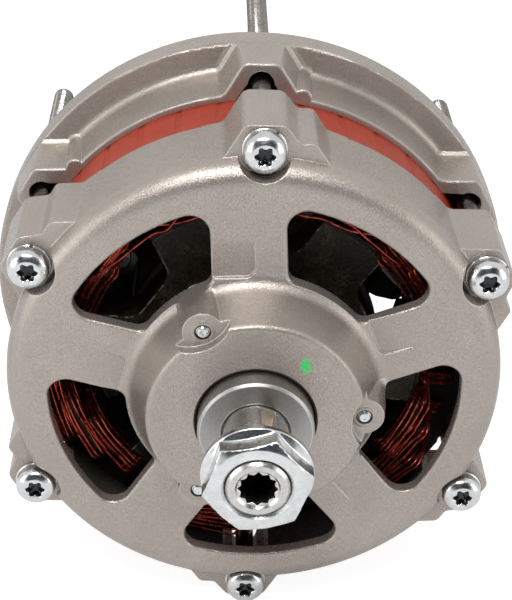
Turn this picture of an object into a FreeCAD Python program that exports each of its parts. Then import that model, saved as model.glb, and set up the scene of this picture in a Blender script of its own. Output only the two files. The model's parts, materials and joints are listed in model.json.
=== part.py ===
import FreeCAD, Part
import math
import os
from FreeCAD import Vector

# Flange-mounted claw-pole alternator, all sizes in millimetres.
# The shaft lies along Y. y = 0 is the rear face of the mounting flange, the drive end points to -Y,
# +Z is up, and angles are measured from +X towards +Z, seen from the drive end.

# Clearances, broken edges, and how far a cutting shape passes beyond the face it opens
SLIDE_FIT = 0.05
RUNNING_GAP = 0.35
SCREW_PLAY = 0.3
EDGE_BREAK = 0.6
FINE_BREAK = 0.4
RIM_FILLET = 0.8
OVERCUT = 1.0

# Stator stack, and the bearings: bore radius, outer radius, width, ball radius, ball count
CORE_R = 63.5
CORE_LENGTH = 30.0
FRONT_BEARING = dict(bore=8.5, outer=23.5, width=14.0, ball=4.3, balls=7)
REAR_BEARING = dict(bore=7.5, outer=17.5, width=11.0, ball=2.95, balls=8)

# Case screws and their pitch circle
SCREW_COUNT = 6
SCREW_FIRST_ANGLE = 90.0
SCREW_OUTBOARD = 4.2
SCREW_PITCH_R = CORE_R + SCREW_OUTBOARD
SCREW_SHANK_R = 2.65
SCREW_THREAD_R = 3.0
SCREW_HEAD_R = 5.4
SCREW_HEAD_HEIGHT = 4.4
SCREW_HEAD_ROUND = 1.6
SCREW_THREAD_START = 0.0
SCREW_POINT = 1.0
SCREW_DRIVE_R = 2.9
SCREW_DRIVE_DEPTH = 2.4
STAR_ROOT = 0.72
SCREW_TAIL = 44.5
WASHER_THICK = 1.0
WASHER_R = 5.7

# Stator
CORE_DEPTH = 17.15
CORE_BORE_R = CORE_R - CORE_DEPTH
CORE_FRONT_SEAT = 2.5
CORE_REAR_SEAT = 10.5
CORE_SHOULDER = 2.0
INNER_WALL_R = CORE_R - CORE_SHOULDER
SLOT_COUNT = 36
SLOT_WIDTH = 3.6
SLOT_MOUTH = 2.2
SLOT_YOKE = 5.5
SLOT_ROOT_R = CORE_R - SLOT_YOKE
SLOT_LIP = 1.3
CORE_GROOVE_R = 1.0
WEDGE_THICK = 0.9
WIRE_CLEARANCE = 0.2
TURN_LAYER = 3.4
TURN_LAYER_GAP = 0.6
TURN_EASE = 0.1
TURN_OUTER_R = SLOT_ROOT_R - TURN_EASE
TURN_LEG = 4.5
TURN_WIDTH = 7.0
TURN_BEVEL = 1.0

# Mounting flange and rear housing
ARCH_RISE = 6.3
ARCH_TOP_R = SCREW_PITCH_R + ARCH_RISE
FLANGE_OVER = 0.08
FLANGE_R = ARCH_TOP_R + FLANGE_OVER
FLANGE_THICK = 8.7
BARREL_WALL = 1.8
BARREL_R = CORE_R + BARREL_WALL
BARREL_TAPER = 1.0
LIP_REACH = 24.0
BARREL_FILLET = 2.5
DOME_STEP = 0.5
DOME_R = INNER_WALL_R + DOME_STEP
DOME_DEPTH = 20.0
DOME_WALL = 3.5
DOME_FILLET = 5.0
REAR_SLEEVE_THICK = 1.2
REAR_BORE_R = REAR_BEARING["outer"] + REAR_SLEEVE_THICK
REAR_BOSS_WALL = 2.8
REAR_BOSS_R = REAR_BORE_R + REAR_BOSS_WALL
REAR_BOSS_REACH = 14.0
REAR_BOSS_DRAFT = 1.0
REAR_BOSS_FILLET = 3.0
REAR_CAP = 2.5
REAR_CAP_FILLET = 1.5
REAR_VENTS = 6
REAR_VENT_FROM_BOSS = 6.5
REAR_VENT_INNER_R = REAR_BOSS_R + REAR_VENT_FROM_BOSS
REAR_VENT_MARGIN = 6.0
REAR_VENT_OUTER_R = DOME_R - REAR_VENT_MARGIN
REAR_SPOKE_HALF = 5.0
REAR_VENT_OUTER_FILLET = 5.0
REAR_VENT_INNER_FILLET = 4.0
BUMP_TOP_HALF = 5.0
BUMP_FOOT_HALF = 10.2
BUMP_LUG_FOOT_HALF = 11.2
BUMP_REACH = 5.5
BUMP_SINK = 0.35
BUMP_CORNER = 3.0
BUMP_FOOT_FILLET = 4.5
BUMP_ROOT = 1.6
ARCH_STEPS = 3
CHANNEL_R = 3.6
CHANNEL_SHIFT = 0.5
CHANNEL_PITCH_R = SCREW_PITCH_R + CHANNEL_SHIFT
CHANNEL_FOOT_HALF = 6.6
CHANNEL_ROOF = 3.5
REAR_LUG_ANGLE = -9.9
REAR_LUG_R = 2.9
REAR_LUG_SUNK = 0.3
REAR_LUG_PITCH_R = BARREL_R - REAR_LUG_SUNK
REAR_LUG_FLARE = 1.8

# Front housing
FRONT_WALL = 1.5
FRONT_WALL_R = CORE_R + FRONT_WALL
FRONT_WALL_DRAFT = 0.8
FACE_TO_SEAT = 5.5
SHELL_DEPTH = 22.5
INNER_DRAFT = 0.6
INNER_FILLET = 3.0
SHOULDER_FILLET = 6.0
SPOKE_FIRST_ANGLE = 94.0
WINDOW_COUNT = 5
SPOKE_HALF = 9.7
WINDOW_MARGIN = 10.5
WINDOW_OUTER_R = FRONT_WALL_R - WINDOW_MARGIN
WINDOW_OUTER_FILLET = 5.0
WINDOW_INNER_FILLET = 3.5
WINDOW_RIM = 0.8
WINDOW_RIM_STEPS = 3
HUB_RISE = 13.9
HUB_WALL = 4.5
HUB_FACE_R = FRONT_BEARING["outer"] + HUB_WALL
HUB_SPREAD = 5.0
HUB_FOOT_R = HUB_FACE_R + HUB_SPREAD
WINDOW_FROM_HUB = 1.0
WINDOW_INNER_R = HUB_FOOT_R + WINDOW_FROM_HUB
COLLAR_R = 14.93
COLLAR_GAP = 0.53
HUB_HOLE_R = COLLAR_R + COLLAR_GAP
HUB_LIP = 3.5
HUB_EDGE_FILLET = 1.6
HUB_FOOT_FILLET = 4.5
EAR_RIM = 0.4
EAR_TOP_R = SCREW_PITCH_R + WASHER_R + EAR_RIM
HEAD_RECESS_PLAY = 1.3
HEAD_RECESS_R = WASHER_R + HEAD_RECESS_PLAY
FRONT_LUG_PROUD = 4.0
FRONT_LUG_TOP_R = FRONT_WALL_R + FRONT_LUG_PROUD
FRONT_LUG_NEAR = 8.9
FRONT_LUG_FAR = 12.9
FRONT_LUG_FOOT = 16.8
FRONT_LUG_FILLET = 2.0
STEP_FROM_HUB = 1.6
STEP_R = HUB_FOOT_R + STEP_FROM_HUB
STEP_REACH = 10.0
STEP_DEPTH = 0.9
STEP_SIDE = 1.4
STEP_FILLET = 2.5
RETAINER_SCREWS = 3
RETAINER_FIRST_ANGLE = 0.0
RETAINER_OUTBOARD = 4.7
RETAINER_PITCH_R = FRONT_BEARING["outer"] + RETAINER_OUTBOARD
RETAINER_BOSS_R = 5.2
RETAINER_BOSS_SPREAD = 1.6
RETAINER_BOSS_FILLET = 3.0
RETAINER_PAD_DROP = 3.2
PAD_CUT_R = 11.0
PAD_CUT_REACH = 3.4
PAD_CUT_INNER_R = RETAINER_PITCH_R - PAD_CUT_REACH
RETAINER_SCREW_R = 1.9
RETAINER_HEAD_R = 3.4
RETAINER_HEAD_HEIGHT = 1.8
RETAINER_TIP = 0.6
RETAINER_PLATE_EDGE = 2.3
RETAINER_PLATE_R = RETAINER_PITCH_R + RETAINER_PLATE_EDGE
RETAINER_EAR_R = 5.9
RETAINER_LAP = 3.0
RETAINER_PLATE_INNER_R = FRONT_BEARING["outer"] - RETAINER_LAP
RETAINER_PLATE_THICK = 2.0

# Inside the bearings
RACE_THICK = 3.4
CAGE_THICK = 1.2
CAGE_EDGE = 1.0
CAGE_PLAY = 0.2
SHIELD_THICK = 0.8
BALL_PLAY = 0.03
WAVE_WASHER_THICK = 0.6
WAVE_WASHER_WIDE = 4.7

# Rotor
ROTOR_R = CORE_BORE_R - RUNNING_GAP
ROTOR_OVERHANG = 18.0
ROTOR_LENGTH = CORE_LENGTH + ROTOR_OVERHANG
ROTOR_REAR_OFFSET = 4.5
POLE_PAIRS = 6
ROTOR_PHASE = -4.0
CLAW_PLATE = 11.0
CLAW_HUB_R = 20.0
CLAW_ROOT_HALF_DEG = 10.5
CLAW_TIP_HALF_DEG = 3.0
CLAW_TIP_GAP = 1.0
CLAW_LENGTH = ROTOR_LENGTH - CLAW_PLATE - CLAW_TIP_GAP
CLAW_VALLEY_DEPTH = 13.0
CLAW_VALLEY_R = ROTOR_R - CLAW_VALLEY_DEPTH
CLAW_VALLEY_HALF = 8.0
CLAW_ROOT_THICK = 9.5
CLAW_ROOT_UNDER_R = ROTOR_R - CLAW_ROOT_THICK
CLAW_TIP_THICK = 3.5
CLAW_TIP_UNDER_R = ROTOR_R - CLAW_TIP_THICK
CLAW_BEVEL = 1.5
CLAW_VALLEY_FILLET = 5.0
CLAW_SHOULDER_DEG = 1.5
COIL_GAP = 2.0
COIL_R = CLAW_ROOT_UNDER_R - COIL_GAP
COIL_FILL = 0.8
FORMER_WALL = 1.5
SHAFT_DRIVE_R = FRONT_BEARING["bore"]
SHAFT_ROTOR_STEP = 1.5
SHAFT_ROTOR_R = SHAFT_DRIVE_R + SHAFT_ROTOR_STEP
SHAFT_RING_STEP = 1.5
SHAFT_RING_R = REAR_BEARING["bore"] + SHAFT_RING_STEP
SHAFT_THREAD_STEP = 0.55
SHAFT_THREAD_R = SHAFT_DRIVE_R - SHAFT_THREAD_STEP
THREAD_RUNOUT = 0.5
SHAFT_CHAMFER = 0.8
SHAFT_END_PLAY = 0.3
THREAD_LENGTH = 8.7
DRIVE_SOCKET_R = 5.0
DRIVE_SOCKET_ROOT_R = 4.2
DRIVE_SOCKET_TEETH = 12
DRIVE_SOCKET_DEPTH = 9.0
SOCKET_CHAMFER = 0.7
KEY_WIDTH = 4.0
KEY_CUTTER_R = 8.0
KEY_DEPTH = 5.0
KEY_ANGLE = 71.0
COLLAR_SHOWN = 5.65
COLLAR_STEP_R = 11.8
COLLAR_STEP = 1.0
NUT_FLATS = 24.0
NUT_HEX = 5.2
NUT_FLANGE_R = 14.0
NUT_FLANGE = 2.2
NUT_CORNER_ANGLE = 13.2
NUT_CORNER_SLOPE = 30.0
NUT_COUNTERSINK_R = 8.8
SHAFT_FREE = 16.0

# Slip rings and brushes
RING_R = 14.0
RING_WIDTH = 6.0
RING_SPACING = 7.5
RING_THICK = 2.5
RING_FIRST_Y = 4.5
SLEEVE_END = 1.2
LEAD_R = 0.9
LEAD_RUN_R = 22.5
LEAD_ANGLES = (60.0, -120.0)
LEAD_BEND = 1.6
LEAD_SLEEVE_GAP = 1.2
BRUSH_ANGLE = 30.0
BRUSH_AXIAL = 5.0
BRUSH_WIDE = 8.0
BRUSH_LENGTH = 12.0
BRUSH_SLOT_CLEARANCE = 0.2
BRUSH_TRAVEL = 3.0
SPRING_SOLID = 5.0
SPRING_LENGTH = SPRING_SOLID + BRUSH_TRAVEL
SPRING_COIL_R = 1.9
SPRING_WIRE = 0.6
SPRING_TURNS = 4.5
HOLDER_WALL = 1.4
HOLDER_START_R = 16.5
HOLDER_FOOT_GAP = 0.5
HOLDER_FOOT_LENGTH = 25.0
HOLDER_FOOT_THICK = 3.0
HOLDER_FOOT_FILLET = 4.0
REGULATOR_LENGTH = 22.0
REGULATOR_THICK = 8.0
REGULATOR_FIN = 1.4
REGULATOR_FINS = 5
REGULATOR_FIN_RISE = 3.2
HOLDER_SCREW_SPREAD = 15.0
HOLDER_SCREW_R = 2.0
HOLDER_SCREW_HEAD_R = 3.8
HOLDER_SCREW_HEAD = 2.8
HOLDER_EAR_R = 5.0

# Rectifier
SINK_FROM = 80.0
SINK_TO = 315.0
SINK_FROM_BOSS = 3.0
SINK_INNER_R = REAR_BOSS_R + SINK_FROM_BOSS
SINK_FROM_WALL = 3.0
SINK_OUTER_R = DOME_R - DOME_WALL - SINK_FROM_WALL
SINK_OUTER_ROW = SINK_OUTER_R - 13.5
SINK_INNER_ROW = SINK_INNER_R + 6.5
SINK_PLATE = 3.0
SINK_GAP = 5.0
DIODE_R = 6.4
DIODE_FROM_EDGE = 11.5
DIODE_PITCH_R = SINK_OUTER_R - DIODE_FROM_EDGE
DIODE_HEIGHT = 6.0
DIODE_LEAD_R = 0.7
DIODE_LEAD_SUNK = 0.5
DIODE_LEAD_PLAY = 1.2
DIODE_FIRST_ANGLE = 142.0
DIODE_STEP = 60.0
DIODE_PAIR_ANGLE = 22.0
PHASE_STRIP = 0.8
PHASE_STRIP_WIDE = 5.0
PHASE_STRIP_GAP = 1.2
STRIP_OVERRUN = 3.0
PHASE_LEAD_R = 1.3
PHASE_LEAD_FROM_EDGE = 6.5
PHASE_LEAD_PITCH_R = SINK_OUTER_R - PHASE_LEAD_FROM_EDGE
CARRIER_INSET = 1.0
CARRIER_INNER_R = SINK_INNER_R + CARRIER_INSET
CARRIER_WIDE = 8.0
CARRIER_OUTER_R = CARRIER_INNER_R + CARRIER_WIDE
CARRIER_FROM = 150.0
CARRIER_TO = 230.0
CARRIER_THICK = 2.0
EXCITER_DIODES = 3
EXCITER_R = 1.8
EXCITER_LENGTH = 5.0
SINK_SCREWS = [(120.0, SINK_OUTER_ROW), (240.0, SINK_INNER_ROW), (300.0, SINK_OUTER_ROW)]
SINK_SCREW_R = 2.0
SINK_SCREW_HEAD_R = 3.9
SINK_SCREW_HEAD = 3.0
SINK_PAD_EXTRA = 1.8
SINK_FILLET = 4.0
SINK_NUT = 3.2
SINK_NUT_FLATS = 7.0
SINK_WASHER = 1.0
INSULATOR_R = 4.6
INSULATOR_NECK_R = 3.2
BATTERY_PLACE = (180.0, SINK_OUTER_ROW)
BATTERY_R = 3.0
BATTERY_SHANK_R = 4.0
BATTERY_SHOULDER = 0.8
BATTERY_POINT = 0.5
BATTERY_HEAD_R = 6.2
BATTERY_HEAD = 3.0
BATTERY_REACH = 20.0
BATTERY_INSULATOR_R = 8.6
BATTERY_NECK_R = 5.2
BATTERY_FLANGE = 2.5
BATTERY_NUT = 5.0
BATTERY_NUT_FLATS = 13.0
BATTERY_WASHER = 1.2
BATTERY_WASHER_R = 8.0
TERMINALS = [(240.0, SINK_OUTER_ROW + 4.5), (120.0, SINK_INNER_ROW)]
TERMINAL_R = 2.0
TERMINAL_SHANK_R = 2.4
TERMINAL_POINT = 0.4
TERMINAL_INSULATOR_R = 4.4
TERMINAL_NECK_R = 3.2
TERMINAL_REACH = 10.0
TERMINAL_FLANGE = 2.0
TERMINAL_HEAD_R = 3.6
TERMINAL_HEAD = 1.5
TERMINAL_HEAD_GAP = 1.0
WALL_BOSS_R = 8.6

# Places worked out along the shaft
Y_FLANGE_FRONT = -FLANGE_THICK
Y_LIP = -LIP_REACH
Y_CORE_REAR = Y_LIP + CORE_REAR_SEAT
Y_CORE_FRONT = Y_CORE_REAR - CORE_LENGTH
Y_FRONT_RIM = Y_CORE_FRONT + CORE_FRONT_SEAT
Y_SEAT = Y_FRONT_RIM - SHELL_DEPTH
Y_FACE = Y_SEAT - FACE_TO_SEAT
Y_HUB = Y_FACE - HUB_RISE
Y_BEARING_FRONT = Y_HUB + HUB_LIP
Y_BEARING_REAR = Y_BEARING_FRONT + FRONT_BEARING["width"]
Y_COLLAR = Y_HUB - COLLAR_SHOWN
Y_NUT_REAR = Y_COLLAR - SHAFT_FREE
Y_NUT_SHOULDER = Y_NUT_REAR - NUT_FLANGE
Y_NUT_FRONT = Y_NUT_SHOULDER - NUT_HEX
Y_SHAFT_TIP = Y_NUT_FRONT - SHAFT_END_PLAY
Y_ROTOR_REAR = -ROTOR_REAR_OFFSET
Y_ROTOR_FRONT = Y_ROTOR_REAR - ROTOR_LENGTH
Y_WALL_OUT = DOME_DEPTH
Y_WALL_IN = DOME_DEPTH - DOME_WALL
Y_REAR_CAP = Y_WALL_OUT + REAR_BOSS_REACH
Y_REAR_BEARING_END = Y_REAR_CAP - REAR_CAP - WAVE_WASHER_THICK
Y_REAR_BEARING = Y_REAR_BEARING_END - REAR_BEARING["width"]
Y_SLEEVE_FRONT = RING_FIRST_Y - RING_WIDTH / 2 - SLEEVE_END
Y_SLEEVE_REAR = RING_FIRST_Y + RING_SPACING + RING_WIDTH / 2 + SLEEVE_END
Y_NEGATIVE_SINK = Y_WALL_IN - SINK_PLATE
Y_POSITIVE_SINK = Y_NEGATIVE_SINK - SINK_GAP - SINK_PLATE

AXIS = Vector(0, 1, 0)
ORIGIN = Vector(0, 0, 0)


def turned(points, start=0.0, sweep=360.0):
    """Solid of revolution about Y from (radius, y) points; a point with three values ends an arc."""
    edges = []
    last = Vector(points[0][0], points[0][1], 0)
    for point in points[1:] + points[:1]:
        here = Vector(point[0], point[1], 0)
        if len(point) == 4:
            middle = Vector(point[2], point[3], 0)
            edges.append(Part.Arc(last, middle, here).toShape())
        elif (here - last).Length > 1e-6:
            edges.append(Part.LineSegment(last, here).toShape())
        last = here
    solid = Part.Face(Part.Wire(edges)).revolve(ORIGIN, AXIS, sweep)
    return spin(solid, start + sweep) if sweep < 360.0 else solid


def round_corner(corner, before, after, radius):
    """Two points that round a corner of a (radius, y) outline: the tangent point and the arc's end."""
    c = Vector(corner[0], corner[1], 0)
    to_before = (Vector(before[0], before[1], 0) - c).normalize()
    to_after = (Vector(after[0], after[1], 0) - c).normalize()
    half = to_before.getAngle(to_after) / 2
    reach = radius / math.tan(half)
    start = c + to_before * reach
    end = c + to_after * reach
    bisector = (to_before + to_after).normalize()
    middle = c + bisector * (radius / math.sin(half) - radius)
    return [(start.x, start.y), (end.x, end.y, middle.x, middle.y)]


def rounded(outline):
    """Outline of (radius, y) or (radius, y, fillet) points with each named fillet turned into an arc."""
    result = []
    count = len(outline)
    for index, point in enumerate(outline):
        if len(point) == 3:
            before = outline[index - 1]
            after = outline[(index + 1) % count]
            result += round_corner(point, before, after, point[2])
        else:
            result.append(point)
    return result


def spin(shape, angle):
    """Copy turned about the shaft axis, from +X towards +Z."""
    turned_copy = shape.copy()
    turned_copy.rotate(ORIGIN, AXIS, -angle)
    return turned_copy


def around(shape, count, first=0.0):
    return [spin(shape, first + index * 360.0 / count) for index in range(count)]


def polar(radius, angle):
    turn = math.radians(angle)
    return radius * math.cos(turn), radius * math.sin(turn)


def rod(radius, y0, y1, at=(0.0, 0.0)):
    """Round bar along Y; at = (radius, angle) of its centre line."""
    x, z = polar(*at)
    return Part.makeCylinder(radius, y1 - y0, Vector(x, y0, z), AXIS)


def tube(outer, inner, y0, y1, at=(0.0, 0.0)):
    return rod(outer, y0, y1, at).cut(rod(inner, y0, y1, at))


def prism(edges, y0, y1):
    """Closed outline of edges in the plane y = 0, pushed from y0 to y1."""
    face = Part.Face(Part.Wire(edges))
    face.translate(Vector(0, y0, 0))
    return face.extrude(Vector(0, y1 - y0, 0))


def line(a, b):
    return Part.LineSegment(Vector(a[0], 0, a[1]), Vector(b[0], 0, b[1])).toShape()


def arc(a, m, b):
    points = [Vector(p[0], 0, p[1]) for p in (a, m, b)]
    return Part.Arc(*points).toShape()


def polygon(points):
    return [line(points[i], points[(i + 1) % len(points)]) for i in range(len(points))]


def join(shapes):
    first = shapes[0]
    return first.fuse(shapes[1:]).removeSplitter() if len(shapes) > 1 else first


def sector(outer, inner, a0, a1, y0, y1):
    """Flat ring piece between two radii and two angles."""
    mid = (a0 + a1) / 2
    edges = [
        arc(polar(outer, a0), polar(outer, mid), polar(outer, a1)),
        line(polar(outer, a1), polar(inner, a1)),
        arc(polar(inner, a1), polar(inner, mid), polar(inner, a0)),
        line(polar(inner, a0), polar(outer, a0)),
    ]
    return prism(edges, y0, y1)


def hexagon(flats, y0, y1, at=(0.0, 0.0), corner=0.0):
    x, z = polar(*at)
    reach = flats / math.sqrt(3)
    points = []
    for index in range(6):
        px, pz = polar(reach, corner + 60.0 * index)
        points.append((x + px, z + pz))
    return prism(polygon(points), y0, y1)


def edges_along_axis(shape, low, high):
    """Edges parallel to the shaft whose distance from it lies between low and high."""
    chosen = []
    for edge in shape.Edges:
        if len(edge.Vertexes) != 2:
            continue
        a, b = edge.Vertexes[0].Point, edge.Vertexes[1].Point
        straight = abs(a.x - b.x) < 1e-6 and abs(a.z - b.z) < 1e-6
        if straight and low < math.hypot(a.x, a.z) < high:
            chosen.append(edge)
    return chosen


def window(outer, inner, spoke_half, a0, a1, y0, y1, outer_fillet, inner_fillet):
    """Opening between two spokes whose sides run parallel to the spokes at angles a0 < a1."""
    ends = []
    for radius in (outer, inner):
        lean = math.degrees(math.asin(spoke_half / radius))
        ends.append((a0 + lean, a1 - lean))
    (o0, o1), (i0, i1) = ends
    edges = [
        arc(polar(outer, o0), polar(outer, (o0 + o1) / 2), polar(outer, o1)),
        line(polar(outer, o1), polar(inner, i1)),
        arc(polar(inner, i1), polar(inner, (i0 + i1) / 2), polar(inner, i0)),
        line(polar(inner, i0), polar(outer, o0)),
    ]
    shape = prism(edges, y0, y1)
    middle = (outer + inner) / 2
    shape = shape.makeFillet(outer_fillet, edges_along_axis(shape, middle, outer + 1))
    return shape.makeFillet(inner_fillet, edges_along_axis(shape, inner - 1, middle))


def outline_edges(corners):
    """Edges of a closed outline in the plane y = 0 from (x, z) or (x, z, fillet) corners."""
    places = rounded(corners)
    edges = []
    last = places[0]
    for place in places[1:] + places[:1]:
        if len(place) == 4:
            edges.append(arc(last[:2], place[2:], place[:2]))
        elif math.dist(last[:2], place[:2]) > 1e-6:
            edges.append(line(last[:2], place[:2]))
        last = place
    return edges


def on_wall(wall_r, across, sunk=0.0):
    """Point of a round wall at a distance across from +X, or a little under its surface."""
    return math.sqrt(wall_r ** 2 - across ** 2) - sunk, across


def moved_out(chain, spread):
    """Open chain of (x, z, fillet) corners with every side moved away from the shaft by spread."""
    sides = []
    for a, b in zip(chain, chain[1:]):
        along = Vector(b[0] - a[0], b[1] - a[1], 0).normalize()
        out = Vector(along.y, -along.x, 0) * spread
        sides.append((Vector(a[0], a[1], 0) + out, along))
    moved = [(sides[0][0].x, sides[0][0].y, 0.0)]
    for index in range(1, len(sides)):
        (p, d), (q, e) = sides[index - 1], sides[index]
        turn = d.x * e.y - d.y * e.x
        reach = ((q.x - p.x) * e.y - (q.y - p.y) * e.x) / turn
        fillet = chain[index][2] + (spread if turn > 0 else -spread)
        moved.append((p.x + d.x * reach, p.y + d.y * reach, fillet))
    last = chain[-1]
    end = Vector(last[0], last[1], 0) + Vector(sides[-1][1].y, -sides[-1][1].x, 0) * spread
    return moved + [(end.x, end.y, 0.0)]


def closed(chain):
    """Outline corners of a chain, closed by a side well under the wall that the chain stands on."""
    corners = [corner if corner[2] else corner[:2] for corner in chain]
    root = min(chain[0][0], chain[-1][0]) - BUMP_ROOT
    return [(root, chain[0][1])] + corners + [(root, chain[-1][1])]


def bump_chain(top_r, wall_r):
    """Outer corners of a cast bump at +X over a case screw: flat top, sloping sides, rounded feet."""
    far = BUMP_LUG_FOOT_HALF + BUMP_REACH
    near = BUMP_FOOT_HALF + BUMP_REACH
    return [
        (*on_wall(wall_r, -far, BUMP_SINK), 0.0),
        (*on_wall(wall_r, -BUMP_LUG_FOOT_HALF), BUMP_FOOT_FILLET),
        (top_r, -BUMP_TOP_HALF, BUMP_CORNER),
        (top_r, BUMP_TOP_HALF, BUMP_CORNER),
        (*on_wall(wall_r, BUMP_FOOT_HALF), BUMP_FOOT_FILLET),
        (*on_wall(wall_r, near, BUMP_SINK), 0.0),
    ]


def arch():
    """Bump of the rear housing at +X: rounded at the lip, drafted as the barrel is, flared at the flange."""
    chain = bump_chain(ARCH_TOP_R, BARREL_R)
    knee_y = Y_FLANGE_FRONT - BARREL_FILLET
    drafted = BARREL_TAPER * (knee_y - Y_LIP) / (Y_FLANGE_FRONT - Y_LIP)
    levels = []
    for index in range(ARCH_STEPS + 1):
        turn = math.radians(90.0 * index / ARCH_STEPS)
        levels.append((Y_LIP + RIM_FILLET * (1 - math.cos(turn)), RIM_FILLET * (math.sin(turn) - 1)))
    for index in range(ARCH_STEPS + 1):
        turn = math.radians(90.0 * index / ARCH_STEPS)
        flare = drafted + BARREL_FILLET * (1 - math.cos(turn))
        levels.append((knee_y + BARREL_FILLET * math.sin(turn), flare))
    wires = []
    for y, spread in levels:
        wire = Part.Wire(outline_edges(closed(moved_out(chain, spread))))
        wire.translate(Vector(0, y, 0))
        wires.append(wire)
    within = tube(ARCH_TOP_R, BARREL_R - BUMP_ROOT, Y_LIP, Y_FLANGE_FRONT)
    return Part.makeLoft(wires, True, True).common(within)


def rear_lug():
    """Round side lug at the foot of an arch at +X, flared where it meets the flange."""
    lug = turned(rounded([(0.0, Y_LIP), (REAR_LUG_R, Y_LIP, RIM_FILLET),
                          (REAR_LUG_R, Y_FLANGE_FRONT, REAR_LUG_FLARE),
                          (REAR_LUG_R + REAR_LUG_FLARE * 2, Y_FLANGE_FRONT),
                          (REAR_LUG_R + REAR_LUG_FLARE * 2, Y_FLANGE_FRONT + OVERCUT),
                          (0.0, Y_FLANGE_FRONT + OVERCUT)]))
    x, z = polar(REAR_LUG_PITCH_R, REAR_LUG_ANGLE)
    lug.translate(Vector(x, 0, z))
    return lug


def ear():
    """Bump of the front housing at +X, with its low side lug in the same outline."""
    wall_r = FRONT_WALL_R + FRONT_WALL_DRAFT / 2
    far = FRONT_LUG_FOOT + BUMP_REACH
    near = BUMP_FOOT_HALF + BUMP_REACH
    chain = [
        (*on_wall(wall_r, -far, BUMP_SINK), 0.0),
        (*on_wall(wall_r, -FRONT_LUG_FOOT), FRONT_LUG_FILLET),
        (FRONT_LUG_TOP_R, -FRONT_LUG_FAR, FRONT_LUG_FILLET),
        (FRONT_LUG_TOP_R, -FRONT_LUG_NEAR, FRONT_LUG_FILLET),
        (EAR_TOP_R, -BUMP_TOP_HALF, BUMP_CORNER),
        (EAR_TOP_R, BUMP_TOP_HALF, BUMP_CORNER),
        (*on_wall(wall_r, BUMP_FOOT_HALF), BUMP_CORNER),
        (*on_wall(wall_r, near, BUMP_SINK), 0.0),
    ]
    solid = prism(outline_edges(closed(chain)), Y_SEAT, Y_FRONT_RIM)
    return solid.cut(rod(wall_r - BUMP_ROOT, Y_SEAT, Y_FRONT_RIM))


def at_screws(shape):
    return around(shape, SCREW_COUNT, SCREW_FIRST_ANGLE)


def channel(y0, y1):
    """Way for a case screw, closed outside and open towards the shaft, where it widens."""
    inner = INNER_WALL_R - 2.0
    low = (CHANNEL_PITCH_R, -CHANNEL_R)
    high = (CHANNEL_PITCH_R, CHANNEL_R)
    edges = [
        arc(low, (CHANNEL_PITCH_R + CHANNEL_R, 0.0), high),
        line(high, (CORE_R, CHANNEL_FOOT_HALF)),
        line((CORE_R, CHANNEL_FOOT_HALF), (inner, CHANNEL_FOOT_HALF)),
        line((inner, CHANNEL_FOOT_HALF), (inner, -CHANNEL_FOOT_HALF)),
        line((inner, -CHANNEL_FOOT_HALF), (CORE_R, -CHANNEL_FOOT_HALF)),
        line((CORE_R, -CHANNEL_FOOT_HALF), low),
    ]
    return prism(edges, y0, y1)


def spoke_step():
    """Shallow step beside a spoke's foot at +X: deepest at its inner edge, it runs out along the spoke."""
    height = STEP_DEPTH * 3
    width = SPOKE_HALF + STEP_SIDE + 4 * OVERCUT
    block = Part.makeBox(STEP_REACH + 4 * OVERCUT, height, width, Vector(0, -height, -STEP_SIDE))
    block = block.makeFillet(STEP_FILLET, edges_along_axis(block, STEP_SIDE / 2, STEP_SIDE * 2))
    block.rotate(ORIGIN, Vector(0, 0, 1), -math.degrees(math.atan(STEP_DEPTH / STEP_REACH)))
    block.translate(Vector(STEP_R, Y_FACE + STEP_DEPTH, 0))
    return block


def retainer_blend(pad_top):
    """Skirt at +X that leads the side of a retainer screw's boss into the hub and the face."""
    foot_r = RETAINER_BOSS_R + RETAINER_BOSS_SPREAD
    edge_r = foot_r + RETAINER_BOSS_FILLET
    skirt = turned(rounded([(0.0, pad_top), (RETAINER_BOSS_R, pad_top),
                            (foot_r, Y_FACE, RETAINER_BOSS_FILLET),
                            (edge_r, Y_FACE), (edge_r, Y_FACE + OVERCUT), (0.0, Y_FACE + OVERCUT)]))
    skirt.translate(Vector(RETAINER_PITCH_R, 0, 0))
    return skirt


def front_window(a0, a1, y1):
    """Cutter for a window of the front housing, with a rounded rim where it breaks through the face."""
    wires = []
    for index in range(WINDOW_RIM_STEPS + 1):
        turn = math.radians(90.0 * index / WINDOW_RIM_STEPS)
        spread = WINDOW_RIM * (1 - math.sin(turn))
        y = Y_FACE + WINDOW_RIM * (1 - math.cos(turn))
        shape = window(WINDOW_OUTER_R + spread, WINDOW_INNER_R, SPOKE_HALF - spread, a0, a1, y, y1,
                       WINDOW_OUTER_FILLET + spread, WINDOW_INNER_FILLET)
        if index == 0:
            above = window(WINDOW_OUTER_R + spread, WINDOW_INNER_R, SPOKE_HALF - spread, a0, a1, Y_HUB, y,
                           WINDOW_OUTER_FILLET + spread, WINDOW_INNER_FILLET)
        flat = [face for face in shape.Faces if face.BoundBox.YMax - y < 1e-4]
        wires.append(flat[0].OuterWire)
    rim = Part.makeLoft(wires, True, True)
    return join([above, rim, shape])


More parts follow.
